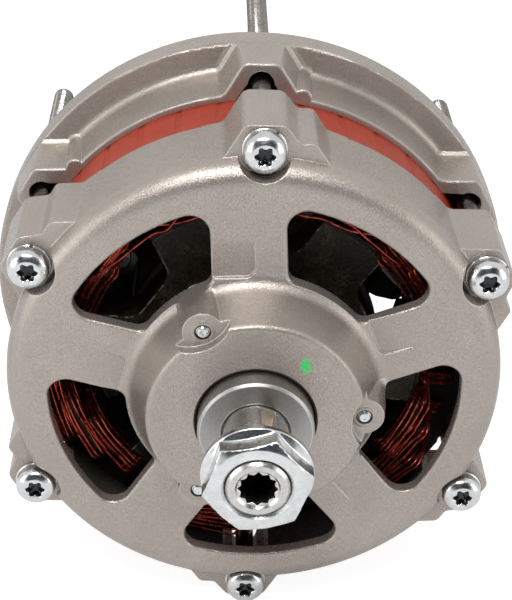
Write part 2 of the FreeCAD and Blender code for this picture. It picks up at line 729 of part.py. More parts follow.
def front_housing():
    inner_face = Y_BEARING_REAR
    outline = [
        (HUB_HOLE_R, Y_HUB),
        (HUB_FACE_R, Y_HUB, HUB_EDGE_FILLET),
        (HUB_FOOT_R, Y_FACE, HUB_FOOT_FILLET),
        (FRONT_WALL_R + FRONT_WALL_DRAFT, Y_FACE, SHOULDER_FILLET),
        (FRONT_WALL_R, Y_FRONT_RIM, EDGE_BREAK),
        (CORE_R + SLIDE_FIT, Y_FRONT_RIM),
        (CORE_R + SLIDE_FIT, Y_CORE_FRONT),
        (INNER_WALL_R, Y_CORE_FRONT),
        (INNER_WALL_R - INNER_DRAFT, inner_face, INNER_FILLET),
        (FRONT_BEARING["outer"], inner_face),
        (FRONT_BEARING["outer"], Y_BEARING_FRONT),
        (HUB_HOLE_R, Y_BEARING_FRONT),
    ]
    body = turned(rounded(outline))
    pad_top = Y_HUB + RETAINER_PAD_DROP
    skirts = around(retainer_blend(pad_top), RETAINER_SCREWS, RETAINER_FIRST_ANGLE)
    body = join([body] + at_screws(ear()) + skirts)
    step = 360.0 / WINDOW_COUNT
    windows = []
    for index in range(WINDOW_COUNT):
        a0 = SPOKE_FIRST_ANGLE + index * step
        windows.append(front_window(a0, a0 + step, inner_face + OVERCUT))
    body = body.cut(windows)
    bosses = around(rod(RETAINER_BOSS_R, pad_top, inner_face, (RETAINER_PITCH_R, 0.0)),
                    RETAINER_SCREWS, RETAINER_FIRST_ANGLE)
    body = join([body] + bosses)
    pad = rod(PAD_CUT_R, Y_HUB - OVERCUT, pad_top, (PAD_CUT_INNER_R + PAD_CUT_R, 0.0))
    cuts = around(pad, RETAINER_SCREWS, RETAINER_FIRST_ANGLE)
    cuts += around(spoke_step(), WINDOW_COUNT, SPOKE_FIRST_ANGLE)
    hole = rod(RETAINER_SCREW_R + SLIDE_FIT, Y_HUB, inner_face + OVERCUT, (RETAINER_PITCH_R, 0.0))
    cuts += around(hole, RETAINER_SCREWS, RETAINER_FIRST_ANGLE)
    cuts += at_screws(rod(HEAD_RECESS_R, Y_HUB, Y_SEAT, (SCREW_PITCH_R, 0.0)))
    cuts += at_screws(rod(SCREW_SHANK_R + SCREW_PLAY, Y_SEAT - OVERCUT, Y_FRONT_RIM, (SCREW_PITCH_R, 0.0)))
    cuts += at_screws(channel(Y_SEAT + CHANNEL_ROOF, Y_FRONT_RIM + OVERCUT))
    cuts.append(rod(FRONT_BEARING["outer"], Y_BEARING_FRONT, inner_face + OVERCUT))
    cuts.append(rod(CORE_R + SLIDE_FIT, Y_CORE_FRONT, Y_FRONT_RIM + OVERCUT))
    return body.cut(cuts).removeSplitter()


def rear_housing():
    cap_inner = Y_REAR_CAP - REAR_CAP
    outside = [
        (0.0, Y_REAR_CAP),
        (REAR_BOSS_R, Y_REAR_CAP, REAR_CAP_FILLET),
        (REAR_BOSS_R + REAR_BOSS_DRAFT, Y_WALL_OUT, REAR_BOSS_FILLET),
        (DOME_R - INNER_DRAFT, Y_WALL_OUT, DOME_FILLET),
        (DOME_R, 0.0),
        (FLANGE_R, 0.0, RIM_FILLET),
        (FLANGE_R, Y_FLANGE_FRONT, RIM_FILLET),
        (BARREL_R + BARREL_TAPER, Y_FLANGE_FRONT, BARREL_FILLET),
        (BARREL_R, Y_LIP, RIM_FILLET),
        (0.0, Y_LIP),
    ]
    inside = [
        (0.0, Y_LIP - OVERCUT),
        (CORE_R + SLIDE_FIT, Y_LIP - OVERCUT),
        (CORE_R + SLIDE_FIT, Y_CORE_REAR),
        (INNER_WALL_R, Y_CORE_REAR),
        (DOME_R - DOME_WALL, Y_FLANGE_FRONT),
        (DOME_R - DOME_WALL, Y_WALL_IN, INNER_FILLET),
        (REAR_BORE_R, Y_WALL_IN),
        (REAR_BORE_R, cap_inner),
        (0.0, cap_inner),
    ]
    body = turned(rounded(outside)).fuse(at_screws(arch()) + at_screws(rear_lug()))
    ways = [turned(rounded(inside))]
    ways += at_screws(channel(Y_LIP - OVERCUT, Y_FLANGE_FRONT))
    ways += at_screws(rod(SCREW_THREAD_R, Y_FLANGE_FRONT - OVERCUT, OVERCUT, (SCREW_PITCH_R, 0.0)))
    body = body.cut(ways)
    step = 360.0 / REAR_VENTS
    vents = []
    for index in range(REAR_VENTS):
        vents.append(window(REAR_VENT_OUTER_R, REAR_VENT_INNER_R, REAR_SPOKE_HALF, index * step,
                            (index + 1) * step, Y_WALL_IN - INNER_FILLET, Y_WALL_OUT + OVERCUT,
                            REAR_VENT_OUTER_FILLET, REAR_VENT_INNER_FILLET))
    body = body.cut(vents)
    bosses = []
    for angle, radius in SINK_SCREWS + [BATTERY_PLACE] + TERMINALS:
        size = WALL_BOSS_R if (angle, radius) == BATTERY_PLACE else SINK_SCREW_HEAD_R + SINK_PAD_EXTRA
        bosses.append(rod(size, Y_WALL_IN, Y_WALL_OUT, (radius, angle)))
    bosses += holder_ears(Y_WALL_IN, Y_WALL_OUT)
    body = join([body] + bosses)
    cuts = [holder_passage()]
    for angle, radius in SINK_SCREWS:
        cuts.append(rod(SINK_SCREW_R + SLIDE_FIT, Y_WALL_IN - OVERCUT, Y_WALL_OUT + OVERCUT, (radius, angle)))
    cuts.append(rod(BATTERY_NECK_R + SLIDE_FIT, Y_WALL_IN - OVERCUT, Y_WALL_OUT + OVERCUT,
                    (BATTERY_PLACE[1], BATTERY_PLACE[0])))
    neck_way = TERMINAL_NECK_R + SLIDE_FIT
    for angle, radius in TERMINALS:
        cuts.append(rod(neck_way, Y_WALL_IN - OVERCUT, Y_WALL_OUT + OVERCUT, (radius, angle)))
    for place in holder_screw_places():
        cuts.append(rod(HOLDER_SCREW_R, Y_WALL_IN - OVERCUT, Y_WALL_OUT + OVERCUT, place))
    return body.cut(cuts).removeSplitter()


def stator_core():
    """Lamination outline with slots and shallow outer grooves, stacked to its length."""
    pitch = 360.0 / SLOT_COUNT
    groove_half = math.degrees(CORE_GROOVE_R / CORE_R)
    outer = []
    inner = []
    mouth = math.degrees(math.asin(SLOT_MOUTH / 2 / CORE_BORE_R))
    for index in range(SLOT_COUNT):
        centre = (index + 0.5) * pitch
        start = centre - pitch / 2 + groove_half
        end = centre + pitch / 2 - groove_half
        outer.append(arc(polar(CORE_R, start), polar(CORE_R, centre), polar(CORE_R, end)))
        after = centre + pitch / 2
        outer.append(arc(polar(CORE_R, end), polar(CORE_R - CORE_GROOVE_R, after),
                         polar(CORE_R, after + groove_half)))
        corners = [(CORE_BORE_R * math.cos(math.radians(mouth)), -SLOT_MOUTH / 2)]
        corners.append((CORE_BORE_R + SLOT_LIP, -SLOT_MOUTH / 2))
        corners.append((CORE_BORE_R + SLOT_LIP, -SLOT_WIDTH / 2))
        corners.append((SLOT_ROOT_R, -SLOT_WIDTH / 2))
        corners += [(x, -z) for x, z in reversed(corners)]
        placed = [rotate_point(corner, index * pitch) for corner in corners]
        inner += [line(placed[i], placed[i + 1]) for i in range(len(placed) - 1)]
        tooth_end = polar(CORE_BORE_R, (index + 1) * pitch - mouth)
        inner.append(arc(placed[-1], polar(CORE_BORE_R, (index + 0.5) * pitch), tooth_end))
    face = Part.Face([Part.Wire(outer), Part.Wire(inner)])
    face.translate(Vector(0, Y_CORE_FRONT, 0))
    return face.extrude(Vector(0, CORE_LENGTH, 0))


def rotate_point(point, angle):
    radius = math.hypot(*point)
    return polar(radius, math.degrees(math.atan2(point[1], point[0])) + angle)


def slot_wedges():
    low = CORE_BORE_R + SLOT_LIP
    wedge = Part.makeBox(WEDGE_THICK, CORE_LENGTH, SLOT_WIDTH, Vector(low, Y_CORE_FRONT, -SLOT_WIDTH / 2))
    return Part.makeCompound(around(wedge, SLOT_COUNT))


def slab(r0, r1, half, y):
    """Flat rectangle across a slot at height y, as a wire."""
    corners = [Vector(r0, y, -half), Vector(r1, y, -half), Vector(r1, y, half), Vector(r0, y, half)]
    return Part.makePolygon(corners + corners[:1])


def phase_winding(phase):
    """One phase of the wave winding: 12 slot bars joined by 6 end turns on each side, one closed path."""
    half = SLOT_WIDTH / 2 - WIRE_CLEARANCE
    bar_in = CORE_BORE_R + SLOT_LIP + WEDGE_THICK
    bar_out = SLOT_ROOT_R - WIRE_CLEARANCE
    turn_out = TURN_OUTER_R - phase * (TURN_LAYER + TURN_LAYER_GAP)
    turn_in = turn_out - TURN_LAYER
    pitch = 360.0 / SLOT_COUNT
    over = math.degrees(half / turn_out)
    pieces = []
    bar = Part.makeBox(bar_out - bar_in, CORE_LENGTH, 2 * half, Vector(bar_in, Y_CORE_FRONT, -half))
    count = SLOT_COUNT // 3
    for index in range(count):
        angle = (phase + 3 * index) * pitch
        pieces.append(spin(bar, angle))
        for y, way in ((Y_CORE_FRONT, -1), (Y_CORE_REAR, 1)):
            top = y + way * TURN_LEG
            ends = [slab(bar_in, bar_out, half, y), slab(turn_in, turn_out, half, top)]
            leg = Part.makeLoft(ends, True, True)
            pieces.append(spin(leg, angle))
            if (index % 2 == 0) == (way < 0):
                y0, y1 = sorted((top, top + way * TURN_WIDTH))
                pieces.append(end_turn(turn_in, turn_out, angle - over, angle + 3 * pitch + over, y0, y1))
    return join(pieces)


def end_turn(r0, r1, a0, a1, y0, y1):
    """End turn bundle bent round the bore, with its long edges broken."""
    bevel = TURN_BEVEL
    outline = [
        (r0 + bevel, y0), (r1 - bevel, y0), (r1, y0 + bevel), (r1, y1 - bevel),
        (r1 - bevel, y1), (r0 + bevel, y1), (r0, y1 - bevel), (r0, y0 + bevel),
    ]
    return turned(outline, a0, a1 - a0)


def claw_pole(front):
    """Half of the rotor: hub, plate with deep valleys and tapered fingers that reach over the coil."""
    half_core = (ROTOR_LENGTH - 2 * CLAW_PLATE) / 2
    plate = rod(ROTOR_R, 0.0, CLAW_PLATE)
    hub = rod(CLAW_HUB_R, CLAW_PLATE, CLAW_PLATE + half_core)
    step = 360.0 / POLE_PAIRS
    edge_half = ROTOR_R * math.sin(math.radians(step / 2 - CLAW_ROOT_HALF_DEG))
    outside = ROTOR_R + 2 * OVERCUT
    points = [
        (CLAW_VALLEY_R, -CLAW_VALLEY_HALF), (outside, -edge_half - OVERCUT),
        (outside, edge_half + OVERCUT), (CLAW_VALLEY_R, CLAW_VALLEY_HALF),
    ]
    valley = prism(polygon(points), -OVERCUT, CLAW_PLATE + OVERCUT)
    floor_edges = edges_along_axis(valley, 0.0, CLAW_VALLEY_R + CLAW_VALLEY_HALF)
    valley = valley.makeFillet(CLAW_VALLEY_FILLET, floor_edges)
    bevel_ring = turned([(ROTOR_R - CLAW_BEVEL, -0.1), (outside, -0.1), (outside, CLAW_BEVEL)])
    body = join([plate, hub]).cut(around(valley, POLE_PAIRS, step / 2) + [bevel_ring])
    profiles = []
    for y, half_deg, under in ((CLAW_PLATE - 0.5, CLAW_ROOT_HALF_DEG - CLAW_SHOULDER_DEG, CLAW_ROOT_UNDER_R),
                               (CLAW_LENGTH, CLAW_TIP_HALF_DEG, CLAW_TIP_UNDER_R)):
        x0, z0 = polar(under, half_deg)
        x1, z1 = polar(outside, half_deg)
        corners = [Vector(x0, y, -z0), Vector(x1, y, -z1), Vector(x1, y, z1), Vector(x0, y, z0)]
        profiles.append(Part.makePolygon(corners + corners[:1]))
    finger = Part.makeLoft(profiles, True, True).common(rod(ROTOR_R, 0.0, CLAW_LENGTH))
    body = join([body] + around(finger, POLE_PAIRS))
    body = body.cut(rod(SHAFT_ROTOR_R, -OVERCUT, ROTOR_LENGTH))
    if front:
        body.translate(Vector(0, Y_ROTOR_FRONT, 0))
        return spin(body, ROTOR_PHASE)
    body = body.cut(field_lead_ways())
    body.rotate(ORIGIN, Vector(1, 0, 0), 180.0)
    body.translate(Vector(0, Y_ROTOR_REAR, 0))
    return spin(body, ROTOR_PHASE + step / 2)


def field_lead_ways():
    bore = LEAD_R + EDGE_BREAK
    return [rod(bore, -OVERCUT, CLAW_PLATE + OVERCUT, (LEAD_RUN_R, angle)) for angle in LEAD_ANGLES]


def coil_former():
    y0 = Y_ROTOR_FRONT + CLAW_PLATE
    y1 = Y_ROTOR_REAR - CLAW_PLATE
    inner = CLAW_HUB_R
    outline = [
        (inner, y0), (COIL_R, y0), (COIL_R, y0 + FORMER_WALL), (inner + FORMER_WALL, y0 + FORMER_WALL),
        (inner + FORMER_WALL, y1 - FORMER_WALL), (COIL_R, y1 - FORMER_WALL), (COIL_R, y1), (inner, y1),
    ]
    return turned(outline)


def field_coil():
    y0 = Y_ROTOR_FRONT + CLAW_PLATE + FORMER_WALL
    y1 = Y_ROTOR_REAR - CLAW_PLATE - FORMER_WALL
    return turned([(CLAW_HUB_R + FORMER_WALL, y0), (COIL_R - COIL_FILL, y0),
                   (COIL_R - COIL_FILL, y1), (CLAW_HUB_R + FORMER_WALL, y1)])


def field_leads():
    """Two insulated wires from the coil through the rear claw plate to the slip ring sleeve."""
    y_coil = Y_ROTOR_REAR - CLAW_PLATE
    y_turn = Y_ROTOR_REAR + LEAD_BEND
    sleeve_r = SHAFT_RING_R + LEAD_SLEEVE_GAP
    leads = []
    for angle in LEAD_ANGLES:
        corner = Vector(sleeve_r, y_turn, 0)
        outward = Part.makeCylinder(LEAD_R, LEAD_RUN_R - sleeve_r, corner, Vector(1, 0, 0))
        pieces = [
            rod(LEAD_R, y_coil, y_turn, (LEAD_RUN_R, 0.0)),
            outward,
            rod(LEAD_R, y_turn, Y_SLEEVE_FRONT, (sleeve_r, 0.0)),
            Part.makeSphere(LEAD_R, Vector(LEAD_RUN_R, y_turn, 0)),
            Part.makeSphere(LEAD_R, Vector(sleeve_r, y_turn, 0)),
        ]
        leads.append(spin(join(pieces), ROTOR_PHASE + 360.0 / POLE_PAIRS / 2 - angle))
    return Part.makeCompound(leads)


def socket_star(y0, y1):
    """Twelve-pointed drive socket in the end of the shaft."""
    points = []
    for index in range(2 * DRIVE_SOCKET_TEETH):
        radius = DRIVE_SOCKET_R if index % 2 == 0 else DRIVE_SOCKET_ROOT_R
        points.append(polar(radius, index * 180.0 / DRIVE_SOCKET_TEETH))
    return prism(polygon(points), y0, y1)


def rotor_shaft():
    y_thread = Y_SHAFT_TIP + THREAD_LENGTH
    rear_end = Y_REAR_BEARING_END - SHAFT_END_PLAY
    outline = [
        (0.0, Y_SHAFT_TIP),
        (SHAFT_THREAD_R - SHAFT_CHAMFER, Y_SHAFT_TIP),
        (SHAFT_THREAD_R, Y_SHAFT_TIP + SHAFT_CHAMFER),
        (SHAFT_THREAD_R, y_thread),
        (SHAFT_DRIVE_R, y_thread + THREAD_RUNOUT),
        (SHAFT_DRIVE_R, Y_ROTOR_FRONT),
        (SHAFT_ROTOR_R, Y_ROTOR_FRONT),
        (SHAFT_ROTOR_R, Y_ROTOR_REAR),
        (SHAFT_RING_R, Y_ROTOR_REAR),
        (SHAFT_RING_R, Y_REAR_BEARING),
        (REAR_BEARING["bore"], Y_REAR_BEARING),
        (REAR_BEARING["bore"], rear_end - SHAFT_CHAMFER),
        (REAR_BEARING["bore"] - SHAFT_CHAMFER, rear_end),
        (0.0, rear_end),
    ]
    shaft = turned(outline)
    chamfer_r = DRIVE_SOCKET_R + SOCKET_CHAMFER
    entry = turned([(0.0, Y_SHAFT_TIP), (chamfer_r, Y_SHAFT_TIP),
                    (DRIVE_SOCKET_R, Y_SHAFT_TIP + SOCKET_CHAMFER), (0.0, Y_SHAFT_TIP + SOCKET_CHAMFER)])
    key_centre = Vector(SHAFT_DRIVE_R + KEY_CUTTER_R - KEY_DEPTH, (Y_COLLAR + Y_NUT_REAR) / 2, -KEY_WIDTH / 2)
    key = Part.makeCylinder(KEY_CUTTER_R, KEY_WIDTH, key_centre, Vector(0, 0, 1))
    socket = socket_star(Y_SHAFT_TIP, Y_SHAFT_TIP + DRIVE_SOCKET_DEPTH)
    return shaft.cut([entry, socket, spin(key, KEY_ANGLE)])


def collar():
    rear = Y_BEARING_FRONT
    bore = SHAFT_DRIVE_R
    outline = [
        (bore + EDGE_BREAK, Y_COLLAR), (COLLAR_R - EDGE_BREAK, Y_COLLAR), (COLLAR_R, Y_COLLAR + EDGE_BREAK),
        (COLLAR_R, rear - COLLAR_STEP), (COLLAR_STEP_R, rear - COLLAR_STEP), (COLLAR_STEP_R, rear),
        (bore, rear), (bore, Y_COLLAR + EDGE_BREAK),
    ]
    return turned(outline)


def rotor_spacer():
    return tube(COLLAR_STEP_R, SHAFT_DRIVE_R, Y_BEARING_REAR, Y_ROTOR_FRONT)


def shaft_nut():
    """Hexagon nut with a round flange, corners broken at 30 degrees and a countersunk front."""
    blank = hexagon(NUT_FLATS, Y_NUT_FRONT, Y_NUT_SHOULDER, (0.0, 0.0), NUT_CORNER_ANGLE)
    corner_r = NUT_FLATS / math.sqrt(3)
    break_r = NUT_FLATS / 2 - FINE_BREAK
    drop = (corner_r + OVERCUT - break_r) * math.tan(math.radians(NUT_CORNER_SLOPE))
    cone = turned([(0.0, Y_NUT_FRONT), (break_r, Y_NUT_FRONT), (corner_r + OVERCUT, Y_NUT_FRONT + drop),
                   (corner_r + OVERCUT, Y_NUT_SHOULDER), (0.0, Y_NUT_SHOULDER)])
    flange = turned([(0.0, Y_NUT_SHOULDER), (NUT_FLANGE_R - FINE_BREAK, Y_NUT_SHOULDER),
                     (NUT_FLANGE_R, Y_NUT_SHOULDER + FINE_BREAK), (NUT_FLANGE_R, Y_NUT_REAR),
                     (0.0, Y_NUT_REAR)])
    sink = NUT_COUNTERSINK_R - SHAFT_THREAD_R
    bore = turned([(0.0, Y_NUT_FRONT), (NUT_COUNTERSINK_R, Y_NUT_FRONT), (SHAFT_THREAD_R, Y_NUT_FRONT + sink),
                   (SHAFT_THREAD_R, Y_NUT_REAR), (0.0, Y_NUT_REAR)])
    return join([blank.common(cone), flange]).cut(bore)


def bearing(size, y0):
    """Deep groove ball bearing: outer race, inner race, balls, cage and two shields."""
    y1 = y0 + size["width"]
    middle = (y0 + y1) / 2
    pitch_r = (size["bore"] + size["outer"]) / 2
    groove = size["ball"] + BALL_PLAY
    track = Part.makeTorus(pitch_r, groove, Vector(0, middle, 0), AXIS)
    race_in = size["bore"] + RACE_THICK
    race_out = size["outer"] - RACE_THICK
    inner = tube(race_in, size["bore"], y0, y1).cut(track)
    outer = tube(size["outer"], race_out, y0, y1).cut(track)
    ball = Part.makeSphere(size["ball"], Vector(pitch_r, middle, 0))
    balls = Part.makeCompound(around(ball, size["balls"]))
    half = size["ball"] + CAGE_EDGE
    start = Vector(pitch_r - 2 * CAGE_THICK, middle, 0)
    pocket = Part.makeCylinder(size["ball"] + CAGE_PLAY, 4 * CAGE_THICK, start, Vector(1, 0, 0))
    ring = tube(pitch_r + CAGE_THICK / 2, pitch_r - CAGE_THICK / 2, middle - half, middle + half)
    cage = ring.cut(around(pocket, size["balls"]))
    shields = []
    for y in (y0, y1 - SHIELD_THICK):
        shields.append(tube(race_out, race_in + RUNNING_GAP, y, y + SHIELD_THICK))
    parts = dict(outer_race=outer, inner_race=inner, balls=balls, cage=cage)
    parts["shields"] = Part.makeCompound(shields)
    return parts


def retainer_plate():
    y1 = Y_BEARING_REAR + RETAINER_PLATE_THICK
    tab = rod(RETAINER_EAR_R, Y_BEARING_REAR, y1, (RETAINER_PITCH_R, 0.0))
    tabs = around(tab, RETAINER_SCREWS, RETAINER_FIRST_ANGLE)
    plate = join([rod(RETAINER_PLATE_R, Y_BEARING_REAR, y1)] + tabs)
    hole = rod(RETAINER_SCREW_R + SLIDE_FIT, Y_BEARING_REAR - OVERCUT, y1 + OVERCUT, (RETAINER_PITCH_R, 0.0))
    cuts = around(hole, RETAINER_SCREWS, RETAINER_FIRST_ANGLE)
    cuts.append(rod(RETAINER_PLATE_INNER_R, Y_BEARING_REAR - OVERCUT, y1 + OVERCUT))
    return plate.cut(cuts)


def retainer_screws():
    """Put in from behind the plate; the domed tip shows in a pad on the hub."""
    y_head = Y_BEARING_REAR + RETAINER_PLATE_THICK
    y_tip = Y_HUB + RETAINER_PAD_DROP - RETAINER_TIP
    at = (RETAINER_PITCH_R, 0.0)
    screw = join([rod(RETAINER_SCREW_R, y_tip, y_head, at),
                  rod(RETAINER_HEAD_R, y_head, y_head + RETAINER_HEAD_HEIGHT, at)])
    return Part.makeCompound(around(screw, RETAINER_SCREWS, RETAINER_FIRST_ANGLE))


def drive_star(radius, y0, y1):
    points = []
    for index in range(12):
        reach = radius if index % 2 == 0 else radius * STAR_ROOT
        points.append(polar(reach, index * 30.0))
    return prism(polygon(points), y0, y1)


def case_screws():
    y_under = Y_SEAT - WASHER_THICK
    y_top = y_under - SCREW_HEAD_HEIGHT
    head = turned(rounded([(0.0, y_top), (SCREW_HEAD_R, y_top, SCREW_HEAD_ROUND), (SCREW_HEAD_R, y_under),
                           (0.0, y_under)]))
    head = head.cut(drive_star(SCREW_DRIVE_R, y_top - OVERCUT, y_top + SCREW_DRIVE_DEPTH))
    tail = turned([(0.0, y_under), (SCREW_SHANK_R, y_under), (SCREW_SHANK_R, SCREW_THREAD_START - FINE_BREAK),
                   (SCREW_THREAD_R, SCREW_THREAD_START),
                   (SCREW_THREAD_R, SCREW_TAIL - SCREW_POINT),
                   (SCREW_THREAD_R - SCREW_POINT, SCREW_TAIL), (0.0, SCREW_TAIL)])
    screw = join([head, tail])
    screw.translate(Vector(SCREW_PITCH_R, 0, 0))
    return Part.makeCompound(at_screws(screw))


def case_washers():
    washer = tube(WASHER_R, SCREW_SHANK_R + SLIDE_FIT, Y_SEAT - WASHER_THICK, Y_SEAT, (SCREW_PITCH_R, 0.0))
    return Part.makeCompound(at_screws(washer))


def slip_ring(index):
    middle = RING_FIRST_Y + index * RING_SPACING
    return tube(RING_R, RING_R - RING_THICK, middle - RING_WIDTH / 2, middle + RING_WIDTH / 2)


def slip_ring_sleeve():
    body = tube(RING_R - FINE_BREAK, SHAFT_RING_R, Y_SLEEVE_FRONT, Y_SLEEVE_REAR)
    for index in range(2):
        middle = RING_FIRST_Y + index * RING_SPACING
        y0 = middle - RING_WIDTH / 2
        body = body.cut(tube(RING_R + OVERCUT, RING_R - RING_THICK, y0, y0 + RING_WIDTH))
    return body


def upright(x0, x1, y0, y1, half):
    """Block that points away from the shaft at the brush holder's angle."""
    block = Part.makeBox(x1 - x0, y1 - y0, 2 * half, Vector(x0, y0, -half))
    return spin(block, BRUSH_ANGLE)


def brush(index):
    """Carbon brush with its face shaped to the ring."""
    middle = RING_FIRST_Y + index * RING_SPACING
    y0 = middle - BRUSH_AXIAL / 2
    block = upright(RING_R - RING_THICK, RING_R + BRUSH_LENGTH, y0, y0 + BRUSH_AXIAL, BRUSH_WIDE / 2)
    return block.cut(rod(RING_R + SLIDE_FIT, middle - BRUSH_AXIAL, middle + BRUSH_AXIAL))


def brush_spring(index):
    middle = RING_FIRST_Y + index * RING_SPACING
    start = RING_R + BRUSH_LENGTH + SPRING_WIRE / 2
    height = SPRING_LENGTH - SPRING_WIRE
    helix = Part.makeHelix(height / SPRING_TURNS, height, SPRING_COIL_R)
    half = SPRING_WIRE / 2
    corners = [Vector(SPRING_COIL_R - half, 0, -half), Vector(SPRING_COIL_R + half, 0, -half),
               Vector(SPRING_COIL_R + half, 0, half), Vector(SPRING_COIL_R - half, 0, half)]
    section = Part.makePolygon(corners + corners[:1])
    coil = Part.Wire(helix.Edges).makePipeShell([section], True, True)
    coil.rotate(ORIGIN, Vector(0, 1, 0), 90.0)
    coil.translate(Vector(start, middle, 0))
    return spin(coil, BRUSH_ANGLE)


def holder_top_r():
    return RING_R + BRUSH_LENGTH + SPRING_LENGTH + HOLDER_WALL


def holder_half():
    return BRUSH_WIDE / 2 + BRUSH_SLOT_CLEARANCE + HOLDER_WALL


def foot_start_r():
    return REAR_BOSS_R + REAR_BOSS_DRAFT + REAR_BOSS_FILLET + HOLDER_FOOT_GAP


def holder_screw_places():
    """Two screw places, one each side of the brush box, as (radius, angle)."""
    radius = foot_start_r() + HOLDER_FOOT_LENGTH / 2
    swing = math.degrees(math.atan(HOLDER_SCREW_SPREAD / radius))
    reach = math.hypot(radius, HOLDER_SCREW_SPREAD)
    return [(reach, BRUSH_ANGLE - swing), (reach, BRUSH_ANGLE + swing)]


def holder_ears(y0, y1):
    """Pads of the rear wall that carry the brush holder's two screws."""
    pads = []
    for radius, angle in holder_screw_places():
        pads.append(rod(HOLDER_EAR_R, y0, y1, (radius, angle)))
        side = 1.0 if angle > BRUSH_ANGLE else -1.0
        wall_angle = BRUSH_ANGLE + side * 180.0 / REAR_VENTS
        x, z = polar(radius, angle)
        wx, wz = polar(radius, wall_angle)
        away = Vector(wx - x, 0, wz - z)
        arm = Part.makeBox(away.Length, y1 - y0, 2 * HOLDER_EAR_R, Vector(0, y0, -HOLDER_EAR_R))
        arm.rotate(ORIGIN, AXIS, -math.degrees(math.atan2(away.z, away.x)))
        arm.translate(Vector(x, 0, z))
        pads.append(arm)
    return pads


def holder_passage():
    gap = HOLDER_FOOT_GAP
    return upright(foot_start_r() - gap, holder_top_r() + gap, Y_WALL_IN - OVERCUT, Y_WALL_OUT + OVERCUT,
                   holder_half() + gap)


def brush_holder():
    """Box with two brush wells inside the rear wall, and a foot that closes it from outside."""
    top = holder_top_r()
    half = holder_half()
    well_half = BRUSH_AXIAL / 2 + BRUSH_SLOT_CLEARANCE
    low = RING_FIRST_Y - well_half - HOLDER_WALL
    high = RING_FIRST_Y + RING_SPACING + well_half + HOLDER_WALL
    box = upright(HOLDER_START_R, top, low, high, half)
    neck = upright(foot_start_r(), top, high, Y_WALL_OUT, half)
    foot = upright(foot_start_r(), foot_start_r() + HOLDER_FOOT_LENGTH, Y_WALL_OUT,
                   Y_WALL_OUT + HOLDER_FOOT_THICK, HOLDER_SCREW_SPREAD + HOLDER_EAR_R)
    foot = foot.makeFillet(HOLDER_FOOT_FILLET, edges_along_axis(foot, 0.0, FLANGE_R))
    body = join([box, neck, foot])
    cuts = []
    for index in range(2):
        middle = RING_FIRST_Y + index * RING_SPACING
        well_end = RING_R + BRUSH_LENGTH + SPRING_LENGTH
        cuts.append(upright(HOLDER_START_R - OVERCUT, well_end, middle - well_half, middle + well_half,
                            BRUSH_WIDE / 2 + BRUSH_SLOT_CLEARANCE))
    y_foot = Y_WALL_OUT + HOLDER_FOOT_THICK
    for place in holder_screw_places():
        cuts.append(rod(HOLDER_SCREW_R + SLIDE_FIT, Y_WALL_OUT - OVERCUT, y_foot + OVERCUT, place))
    return body.cut(cuts)


def voltage_regulator():
    """Potted block on the holder's foot, with cooling fins."""
    low = Y_WALL_OUT + HOLDER_FOOT_THICK
    middle = foot_start_r() + HOLDER_FOOT_LENGTH / 2
    x0 = middle - REGULATOR_LENGTH / 2
    x1 = middle + REGULATOR_LENGTH / 2
    half = HOLDER_SCREW_SPREAD - HOLDER_SCREW_HEAD_R - EDGE_BREAK
    fin_foot = low + REGULATOR_THICK - REGULATOR_FIN_RISE
    base = upright(x0, x1, low, fin_foot, half)
    fins = []
    pitch = (2 * half - REGULATOR_FIN) / (REGULATOR_FINS - 1)
    for index in range(REGULATOR_FINS):
        z = -half + index * pitch
        fin = Part.makeBox(x1 - x0, REGULATOR_FIN_RISE, REGULATOR_FIN, Vector(x0, fin_foot, z))
        fins.append(spin(fin, BRUSH_ANGLE))
    return join([base] + fins)


def holder_screws():
    low = Y_WALL_OUT + HOLDER_FOOT_THICK
    screws = []
    for place in holder_screw_places():
        screws.append(join([rod(HOLDER_SCREW_R, Y_WALL_IN, low, place),
                            rod(HOLDER_SCREW_HEAD_R, low, low + HOLDER_SCREW_HEAD, place)]))
    return Part.makeCompound(screws)


def diode_places(kind):
    shift = 0.0 if kind == "positive" else DIODE_PAIR_ANGLE
    return [(DIODE_PITCH_R, DIODE_FIRST_ANGLE + shift + index * DIODE_STEP) for index in range(3)]


def heat_sink(kind):
    """Crescent plate that carries three pressed diodes and lets the others through."""
    y0 = Y_POSITIVE_SINK if kind == "positive" else Y_NEGATIVE_SINK
    plate = sector(SINK_OUTER_R, SINK_INNER_R, SINK_FROM, SINK_TO, y0, y0 + SINK_PLATE)
    plate = plate.makeFillet(SINK_FILLET, edges_along_axis(plate, 0.0, FLANGE_R))
    low = y0 - OVERCUT
    high = y0 + SINK_PLATE + OVERCUT
    cuts = [rod(DIODE_R, low, high, place) for place in diode_places(kind)]
    screw_r = INSULATOR_NECK_R + SLIDE_FIT if kind == "positive" else SINK_SCREW_R + SLIDE_FIT
    for angle, radius in SINK_SCREWS:
        cuts.append(rod(screw_r, low, high, (radius, angle)))
    stud_r = BATTERY_SHANK_R if kind == "positive" else BATTERY_NECK_R + SLIDE_FIT
    cuts.append(rod(stud_r, low, high, (BATTERY_PLACE[1], BATTERY_PLACE[0])))
    for angle, radius in TERMINALS:
        cuts.append(rod(TERMINAL_NECK_R + EDGE_BREAK, low, high, (radius, angle)))
    if kind == "positive":
        for place in diode_places("negative"):
            cuts.append(rod(DIODE_LEAD_R + DIODE_LEAD_PLAY, low, high, place))
    return plate.cut(cuts)


def diodes(kind):
    y_plate = Y_POSITIVE_SINK if kind == "positive" else Y_NEGATIVE_SINK
    y_strip = strip_y()
    group = []
    for place in diode_places(kind):
        cup = rod(DIODE_R, y_plate + SINK_PLATE - DIODE_HEIGHT, y_plate + SINK_PLATE, place)
        lead = rod(DIODE_LEAD_R, y_strip, y_plate + SINK_PLATE - DIODE_HEIGHT + DIODE_LEAD_SUNK, place)
        group.append(join([cup, lead]))
    return Part.makeCompound(group)


